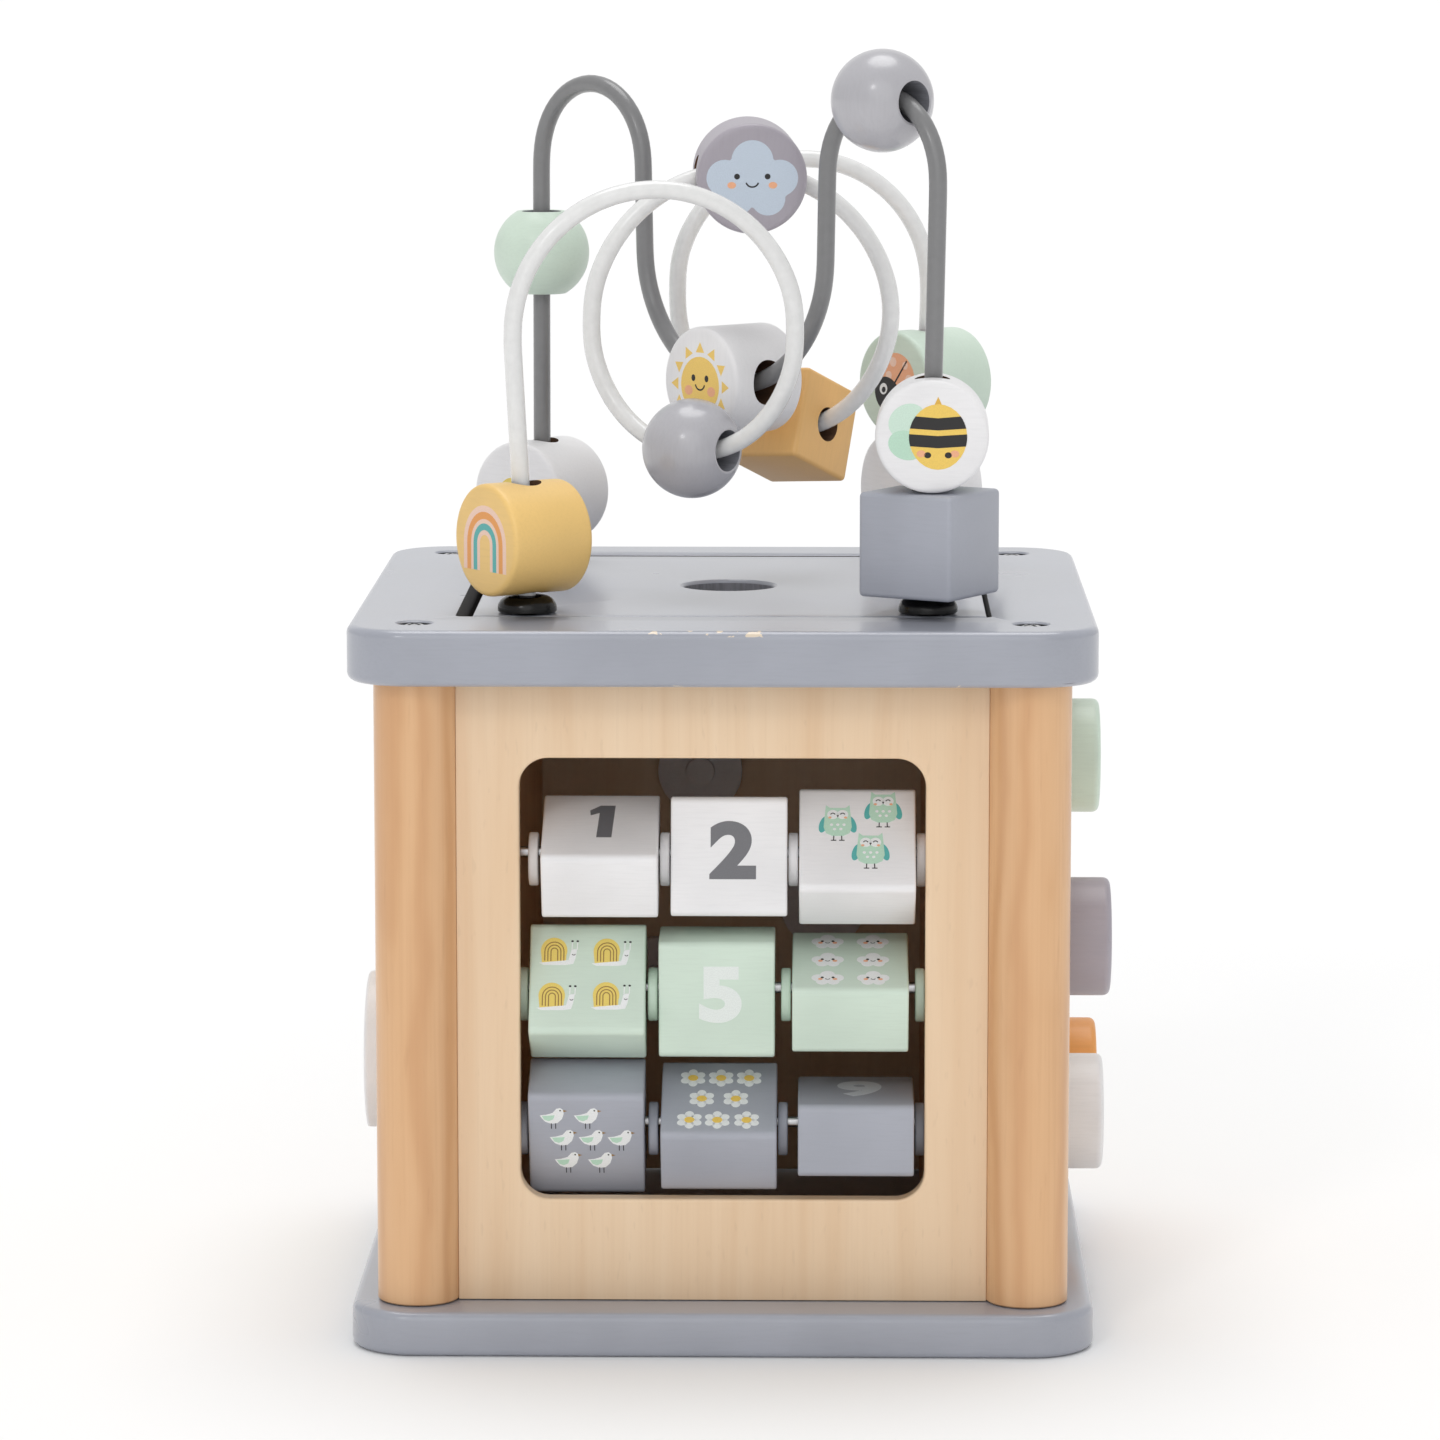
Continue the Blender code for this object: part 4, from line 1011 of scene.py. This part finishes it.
OWL_PLACES = [(-5.3, 5.0), (6.9, 9.2), (3.5, -3.6)]
SNAIL_PLACES = [(-8.0, 7.4), (6.2, 7.2), (-8.4, -5.6), (6.2, -5.4)]
LADYBIRD_PLACES = [(-8, 8), (8, 8), (0, 0), (-8, -8), (8, -8)]
BIRD_PLACES = [(-8.6, 9.2), (0.6, 9.2), (-6.0, 2.2), (1.8, 2.2), (9.6, 2.2), (-4.8, -5.0), (4.2, -5.0)]
DAISY_PLACES = [(-7.2, 8.1), (0.4, 8.1), (8.0, 8.1), (-4.7, -0.7), (4.5, -0.7)]
DAISY_PLACES += [(-7.9, -9.7), (-0.4, -9.7), (7.5, -9.7)]
# For each number: the picture, the places where it is printed, and its size.
TILE_PRINTS = {
    1: (draw_sun, [(0, 0)], 0.95),
    2: (draw_bee, [(-7.0, 2.5), (7.5, -2.5)], 0.85),
    3: (draw_owl, OWL_PLACES, 1.05),
    4: (draw_snail, SNAIL_PLACES, 0.83),
    5: (draw_ladybird, LADYBIRD_PLACES, 0.55),
    6: (draw_mini_cloud, rows((2, 2, 2), 12.2, 9.6), 0.50),
    7: (draw_bird, BIRD_PLACES, 0.72),
    8: (draw_daisy, DAISY_PLACES, 0.86),
    9: (draw_balloon, rows((3, 3, 3), 9.0, 9.2), 0.72),
}
FIGURE_INK = {"upper": "grey", "middle": "soft_white", "lower": "plate"}
FIGURE_ONE = [(-4.0, 5.4), (-1.2, 7.8), (2.8, 7.8), (2.1, -7.8), (-2.0, -7.8), (-1.4, 4.2), (-3.8, 3.0)]
FIGURE_HEIGHT = 15.6
FIGURE_PLACE = (1.0, 1.7)
PRINT_IN_FRONT = (3, 4, 6, 7, 8)
# Lays a slab's Z along the rod and its X across the block's thickness.
BLOCK_LAY = Matrix(((0, 0, 1, 0), (-1, 0, 0, 0), (0, -1, 0, 0), (0, 0, 0, 1)))


def build_number_blocks():
    width, depth, height = TILE_SIZE
    for number, row, x, tilt in TILES:
        name = f"number_block_{number}"
        turn = at(x, ROD_Y, ROD_HEIGHTS[row] - TILE_SAG) @ rotation(-tilt, "X")
        lying = turn @ BLOCK_LAY
        block = slab((depth, height, width), 0.0020, 0.0006, 6, 3)
        colour = ROW_PAINT[row]
        block = piece("wooden_" + name, block, PAINTS[colour, "z"], name, lying, name, SLOT[colour])
        hole = cylinder(TILE_HOLE_RADIUS, 0.05, 40)
        cut(block, hole, lying, PALE_RAW, wall_within(TILE_HOLE_RADIUS + 0.0001))
        front = turn @ front_of(depth / 2)
        back = turn @ rotation(180, "X") @ front_of(depth / 2)
        figure_side, print_side = (back, front) if number in PRINT_IN_FRONT else (front, back)
        figure = Picture(f"figure_{number}", figure_side, name)
        figure.move(*FIGURE_PLACE)
        if number == 1:
            figure.shape(FIGURE_ONE, FIGURE_INK[row], 1)
        else:
            figure.text(str(number), FIGURE_HEIGHT, FIGURE_INK[row])
        figure.done()
        draw, places, size = TILE_PRINTS[number]
        picture = Picture(f"print_{number}", print_side, name)
        for place in places:
            picture.move(*place, size)
            draw(picture)
        picture.done()


# ---- lid and bead maze


class Bend:
    """A half circle of wire between two upright stretches, over the top or under them."""

    def __init__(self, start, end, height, over):
        start, end = Vector((*start, height)), Vector((*end, height))
        self.centre = (start + end) / 2
        self.radius = (end - start).length / 2
        self.heading = (end - start).normalized()
        self.up = UP if over else -UP

    def point(self, angle):
        offset = self.heading * math.sin(angle) + self.up * math.cos(angle)
        return self.centre + self.radius * offset

    def tangent(self, angle):
        return self.heading * math.cos(angle) - self.up * math.sin(angle)


def bends_of(uprights, heights):
    return [
        Bend(uprights[i], uprights[i + 1], height, over=i % 2 == 0)
        for i, height in enumerate(heights)
    ]


def even_path(feet, bends):
    """The wire's centre line with a point every millimetre, its joins smoothed."""
    rough = [Vector((*feet[0], WIRE_FOOT)), Vector((*feet[0], COLLAR_TOP))]
    rough.append(bends[0].point(math.radians(-90)))
    for bend in bends:
        turns = [-BEND_REACH + 2 * BEND_REACH * step / 48 for step in range(49)]
        rough += [bend.point(math.radians(turn)) for turn in turns]
    rough.append(bends[-1].point(math.radians(90)))
    rough += [Vector((*feet[1], COLLAR_TOP)), Vector((*feet[1], WIRE_FOOT))]
    points = [rough[0]]
    for start, end in zip(rough, rough[1:]):
        parts = max(1, round((end - start).length / 0.001))
        if (end - start).length > 1e-6:
            points += [start.lerp(end, k / parts) for k in range(1, parts + 1)]
    soft = []
    for i in range(len(points)):
        span = min(5, i, len(points) - 1 - i)
        near = points[i - span : i + span + 1]
        soft.append(sum(near, Vector()) / len(near))
    return soft[::2] if len(soft) % 2 else [*soft[::2], soft[-1]]


def build_wire(name, points, material, node, slot):
    """A round wire along the points."""
    curve = bpy.data.curves.new(name, "CURVE")
    curve.dimensions = "3D"
    curve.bevel_depth = WIRE_RADIUS
    curve.bevel_resolution = 6
    curve.use_fill_caps = True
    spline = curve.splines.new("POLY")
    spline.points.add(len(points) - 1)
    for spline_point, point in zip(spline.points, points):
        spline_point.co = (*point, 1)
    spline.use_smooth = True
    made = in_scene(name + "_curve", curve)
    bm = bmesh.new()
    bm.from_mesh(finished_mesh(made))
    bpy.data.objects.remove(made)
    bmesh.ops.remove_doubles(bm, verts=bm.verts, dist=0.00001)
    piece(name, bm, material, LID, None, node, slot, angle=60)


def build_lid():
    board = slab((2 * LID_HALF[0], 2 * LID_HALF[1], TOP_THICKNESS), 0.0015, 0.0006, 6, 3)
    middle = (LID_CENTRE_X, OPENING_CENTRE_Y, TOP_MIDDLE)
    bmesh.ops.translate(board, vec=middle, verts=board.verts)
    board = piece(
        "lid_painted", board, PAINTS["plate", "x"], LID, None, "lid_board", SLOT["plate"]
    )
    x, radius = FINGER_HOLE
    profile = [(0, -0.02), (radius, -0.02), (radius, 0.0066), (radius + 0.0003, 0.0071)]
    profile += [(radius + 0.0009, 0.0075), (radius + 0.0009, 0.01), (0, 0.01)]
    wall = wall_within(radius + 0.0002, x, OPENING_CENTRE_Y)
    # The finger hole's wall gets darker grey: its paint with painted shade.
    cut(board, turned(profile, 72), at(x, OPENING_CENTRE_Y, TOP_MIDDLE), HOLE_PAINT_SHADE, wall)
    for x, y in (*WHITE_FEET, *GREY_FEET):
        cut(board, cylinder(WIRE_RADIUS + GAP, 0.04, 24), at(x, y, LID_TOP))
        add_collar(x, y)


def add_collar(x, y):
    """A glossy cap with a low dome and a flat rim round the wire."""
    bore, crown = WIRE_RADIUS + GAP, 0.0042
    ring = [(bore, COLLAR_HEIGHT), (bore + 0.0012, COLLAR_HEIGHT)]
    ring += around(crown, 0.0012, COLLAR_RADIUS - crown, COLLAR_HEIGHT - 0.0013, 90, 0, 12)
    ring += [(COLLAR_RADIUS, 0.0004), (COLLAR_RADIUS - 0.0004, 0), (bore, 0)]
    name = "wire_collar_" + corner_name(x, y)
    cap = turned(ring, 56, closed=True)
    piece("cap_" + name, cap, BLACK, LID, at(x, y, LID_TOP + GAP), name, "black_plastic")


def bead_matrix(point, tangent, facing):
    """A bead's place: its hole along the wire, its decorated face towards the facing direction."""
    axis = tangent.normalized()
    facing = Vector(facing)
    back = -(facing - axis * facing.dot(axis)).normalized()
    turn = Matrix((back.cross(axis), back, axis)).transposed().to_4x4()
    return Matrix.Translation(point) @ turn


def legs_of(feet, uprights, heights):
    """The wire's two outer legs, each from the top of its collar to the height of its bend."""
    return [
        (Vector((*foot, COLLAR_TOP)), Vector((*upright, height)))
        for foot, upright, height in zip(feet, uprights[:: len(uprights) - 1], heights[:: len(heights) - 1])
    ]


def on_leg(ends, height, facing):
    """The place of a bead that sits at this height on an outer leg."""
    low, high = ends
    point = low.lerp(high, (height - low.z) / (high.z - low.z))
    return bead_matrix(point, UP, facing)


def on_bend(bend, degrees, facing, half_length=DRUM_RADIUS, turn=0.0):
    """The place of a bead on a bend; half the wire's bow inside it is left on each side."""
    angle = math.radians(degrees)
    bow = bend.radius - math.sqrt(bend.radius**2 - half_length**2)
    point = bend.point(angle)
    point += (bend.centre - point).normalized() * bow / 2
    tangent = Matrix.Rotation(math.radians(turn), 3, "Z") @ bend.tangent(angle)
    return bead_matrix(point, tangent, facing)


def drum(name, colour, matrix, radius=DRUM_RADIUS, hole=BEAD_HOLE_RADIUS):
    """A thick disc with a hole across it."""
    side = divided(disc_side(radius, DRUM_THICKNESS / 2, 0.0016, 5), 0.0022)
    bm = turned(side, 96)
    bmesh.ops.transform(bm, matrix=along("y"), verts=bm.verts)
    bead = piece("wooden_" + name, bm, PAINTS[colour, "x"], name, matrix, name, SLOT[colour])
    drill(bead, matrix, hole)


def cube(name, colour, side, matrix):
    bm = slab((side,) * 3, 0, 0.0013, edge_segments=4)
    bead = piece("wooden_" + name, bm, PAINTS[colour, "x"], name, matrix, name, SLOT[colour])
    drill(bead, matrix, BEAD_HOLE_RADIUS)


def ball(name, colour, radius, half_length, matrix):
    """A turned ball whose ends round over into its hole."""
    hole = BALL_HOLE_RADIUS
    rim = math.degrees(math.asin(half_length / radius))
    mouth = [(hole, half_length - 0.0006), (hole + 0.0002, half_length - 0.0001)]
    ring = [*mouth, *around(0, 0, radius, radius, rim, -rim, 32)]
    ring += [(r, -height) for r, height in reversed(mouth)]
    # The inside of the hole is darker grey: the ball's paint with painted shade.
    materials = [PAINTS[colour, "x"], HOLE_PAINT_SHADE]
    bm = turned(ring, 72, closed=True)
    bead = piece("wooden_" + name, bm, materials, name, matrix, name, SLOT[colour])
    for face in bead.data.polygons:
        if math.hypot(face.center.x, face.center.y) < hole + 0.0001:
            face.material_index = 1


def drill(bead, matrix, radius):
    # The hole's wall gets dark bare wood: the wood's colour with painted shade.
    cut(bead, cylinder(radius, 0.06, 56), matrix, BARE_WOOD_IN_SHADE, wall_within(radius * 1.01))


def printed_drum(
    kind, colour, matrix, draw, size, turn=0.0, x=0.0, y=0.0, hole=BEAD_HOLE_RADIUS
):
    """A drum with a picture on its decorated face, upright whichever way its hole lies."""
    drum("bead_" + kind, colour, matrix, hole=hole)
    normal = -(matrix.to_3x3() @ Vector((0, 1, 0)))
    upward = (UP - normal * UP.dot(normal)).normalized()
    right = upward.cross(normal)
    turned_to = Matrix((right, upward, normal)).transposed().to_4x4()
    place = Matrix.Translation(matrix.translation + normal * DRUM_THICKNESS / 2) @ turned_to
    picture = Picture("print_" + kind, place, "bead_" + kind)
    picture.move(x, y, size, turn)
    draw(picture)
    picture.done()


def build_maze():
    white = bends_of(WHITE_UPRIGHTS, WHITE_BEND_HEIGHTS)
    grey = bends_of(GREY_UPRIGHTS, GREY_BEND_HEIGHTS)
    white_path, grey_path = even_path(WHITE_FEET, white), even_path(GREY_FEET, grey)
    build_wire("bent_wire_white", white_path, WIRE_WHITE, "white_wire", "white_wire")
    build_wire("bent_wire_grey", grey_path, WIRE_GREY, "grey_wire", "grey_wire")
    front_left, back_right = legs_of(WHITE_FEET, WHITE_UPRIGHTS, WHITE_BEND_HEIGHTS)
    back_left, front_right = legs_of(GREY_FEET, GREY_UPRIGHTS, GREY_BEND_HEIGHTS)

    place = on_leg(front_left, FOOT_DRUM_HEIGHT, (-0.81, -0.59, 0))
    printed_drum("rainbow", "yellow", place, draw_rainbow, 1.30, y=-1.0)
    place = on_leg(back_left, FOOT_DRUM_HEIGHT, (-0.55, -0.83, 0))
    printed_drum("snail", "white", place, draw_snail, 1.15, y=-0.8)
    place = on_leg(back_right, PLAIN_DRUM_HEIGHT, (-0.9, -0.4, 0))
    drum("bead_plain", "white", place, PLAIN_DRUM_RADIUS)
    place = on_leg(back_right, UPPER_DRUM_HEIGHT, (-0.75, -0.66, 0))
    printed_drum("ladybird", "mint", place, draw_ladybird, 1.25, turn=-38, x=0.6, y=0.2)
    place = on_leg(front_right, FOOT_CUBE_HEIGHT, (-0.50, -0.87, 0))
    cube("bead_grey_cube", "grey", CUBE_SIDE, place)
    place = on_leg(front_right, ON_CUBE_HEIGHT, (-0.02, -1, 0))
    printed_drum("bee", "white", place, draw_bee, 1.25, x=1.6)
    place = on_leg(back_left, 0.2855, (0, -1, 0))
    ball("bead_mint_ball", "mint", 0.0137, 0.0118, place)
    place = on_bend(white[1], 0, (0, -1, 0), 0.0122)
    ball("bead_lower_ball", "ash", 0.0137, 0.0122, place)
    place = on_bend(white[2], 3, (-0.04, -1, -0.04), turn=CLOUD_TURN)
    printed_drum("cloud", "stone", place, draw_cloud, 1.45)
    place = on_bend(white[3], -4, (-0.50, -0.78, 0.37), YELLOW_CUBE_SIDE / 2)
    cube("bead_yellow_cube", "honey", YELLOW_CUBE_SIDE, place)
    place = on_bend(grey[1], 0, (-0.83, -0.56, 0))
    printed_drum("sun", "white", place, draw_sun, 1.30, y=-1.0, hole=SUN_HOLE_RADIUS)
    place = on_bend(grey[2], 0, (0, -1, 0), 0.0124)
    ball("bead_top_ball", "ash", 0.0139, 0.0124, place)


# ---- knobs, gears and shape blocks


def build_knobs():
    back, face = KNOB_REACH
    neck, disc, inside = KNOB_NECK_RADIUS, KNOB_DISC_RADIUS, PANEL_INNER_FACE
    end = inside - DISC_THICKNESS
    profile = rounded([(0, face), (KNOB_RADIUS, face), (KNOB_RADIUS, back), (neck, back)], 0.0022, 6)
    profile += [(neck, inside), (disc, inside), (disc, end), (0, end)]
    profile = [(r, height - face) for r, height in profile]
    for name, colour, y, z in KNOBS:
        place = at(face, y, z, "x")
        knob = turned(profile, 80)
        piece("round_" + name, knob, PAINTS[colour, "z"], name, place, name, SLOT[colour])


def build_gears():
    """The gears, each with the peg that holds it to the back panel."""
    colours = {"gear_middle": "mint", "gear_upper": "yellow", "gear_lower": "grey"}
    for name, colour in colours.items():
        dress(name, PAINTS[colour, "z"], 0.0005)
        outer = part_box(name)[1].y
        foot, head = PANEL_INNER_FACE, outer + 0.0005
        cap = [(0, head + 0.003), (0.0110, head + 0.003), (0.0110, head), (0.0050, head)]
        below = [(0.0050, foot), (0.01235, foot), (0.01235, foot - DISC_THICKNESS)]
        below += [(0.0042, foot - DISC_THICKNESS), (0.0042, foot - 0.006), (0, foot - 0.006)]
        profile = [*rounded(cap, 0.0010, 5), *rounded(below, 0.0004, 2)]
        bm = turned([(r, height - outer) for r, height in profile], 64)
        peg = name.replace("gear", "gear_peg")
        low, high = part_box(peg)
        place = at((low.x + high.x) / 2, outer, (low.z + high.z) / 2, "y")
        piece("turned_" + peg, bm, PAINTS["white", "z"], BODY, place, peg, SLOT["white"])


def build_shapes():
    for kind, colour in {"square": "mint", "triangle": "yellow", "hexagon": "grey"}.items():
        dress("shape_block_" + kind, PAINTS[colour, "x"], 0.0002)
    name = "shape_block_round"
    low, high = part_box(name)
    middle, half, radius = (low + high) / 2, (high.x - low.x) / 2, (high.y - low.y) / 2
    bm = turned(disc_side(radius, half, 0.0012, 4), 96)
    place = at(middle.x, middle.y, high.z - radius, "x")
    block = piece("wooden_" + name, bm, PAINTS["white", "x"], name, place, name, SLOT["white"])
    cut(block, slab((0.06, 0.06, 0.02)), at(low.x + half, middle.y, low.z - 0.01))


# ---- stage, light and camera


LIGHTS = (
    ("top", 1.30, 40, (0.0, -0.22, -1.0)),
    ("key", 0.42, 50, (0.05, 0.95, -0.42)),
    ("back", 0.18, 60, (0.05, -1.0, -0.16)),
    ("glint", 0.20, 9, (0.36, 0.80, -0.55)),
)
CAMERA_PLACE = (0.0260, -1.6530, 0.3956)
CAMERA_DIRECTION = (-0.0168, 0.9897, -0.1421)
FOCAL_LENGTH = 148.9


def aim(obj, direction):
    obj.rotation_euler = Vector(direction).to_track_quat("-Z", "Y").to_euler()


def build_stage():
    bm = bmesh.new()
    bmesh.ops.create_grid(bm, x_segments=1, y_segments=1, size=30)
    floor = in_scene("floor", mesh_from("floor", bm))
    look = Look("pale_floor", 0.9, specular=0.1)
    shade = look.mix(look.noise((3, 3, 3), 1.0), (0.90, 0.90, 0.90, 1), (0.92, 0.92, 0.92, 1))
    floor.data.materials.append(look.colour(shade))

    world = bpy.data.worlds.new("studio")
    bpy.context.scene.world = world
    world.use_nodes = True
    background = world.node_tree.nodes["Background"]
    background.inputs["Color"].default_value = (1.0, 1.0, 1.0, 1)
    background.inputs["Strength"].default_value = 0.62

    for name, strength, angle, direction in LIGHTS:
        light = bpy.data.lights.new(name, "SUN")
        light.energy = strength
        light.angle = math.radians(angle)
        aim(in_scene(name, light), direction)

    lens = bpy.data.cameras.new("camera")
    lens.lens = FOCAL_LENGTH
    lens.sensor_width = 36
    lens.clip_end = 200
    camera = in_scene("camera", lens)
    camera.location = CAMERA_PLACE
    aim(camera, CAMERA_DIRECTION)
    bpy.context.scene.camera = camera
    bpy.context.scene.view_settings.view_transform = "Standard"


build_stage()
build_plates()
build_posts()
build_panels()
build_rods()
build_number_blocks()
build_lid()
build_maze()
build_knobs()
build_gears()
build_shapes()
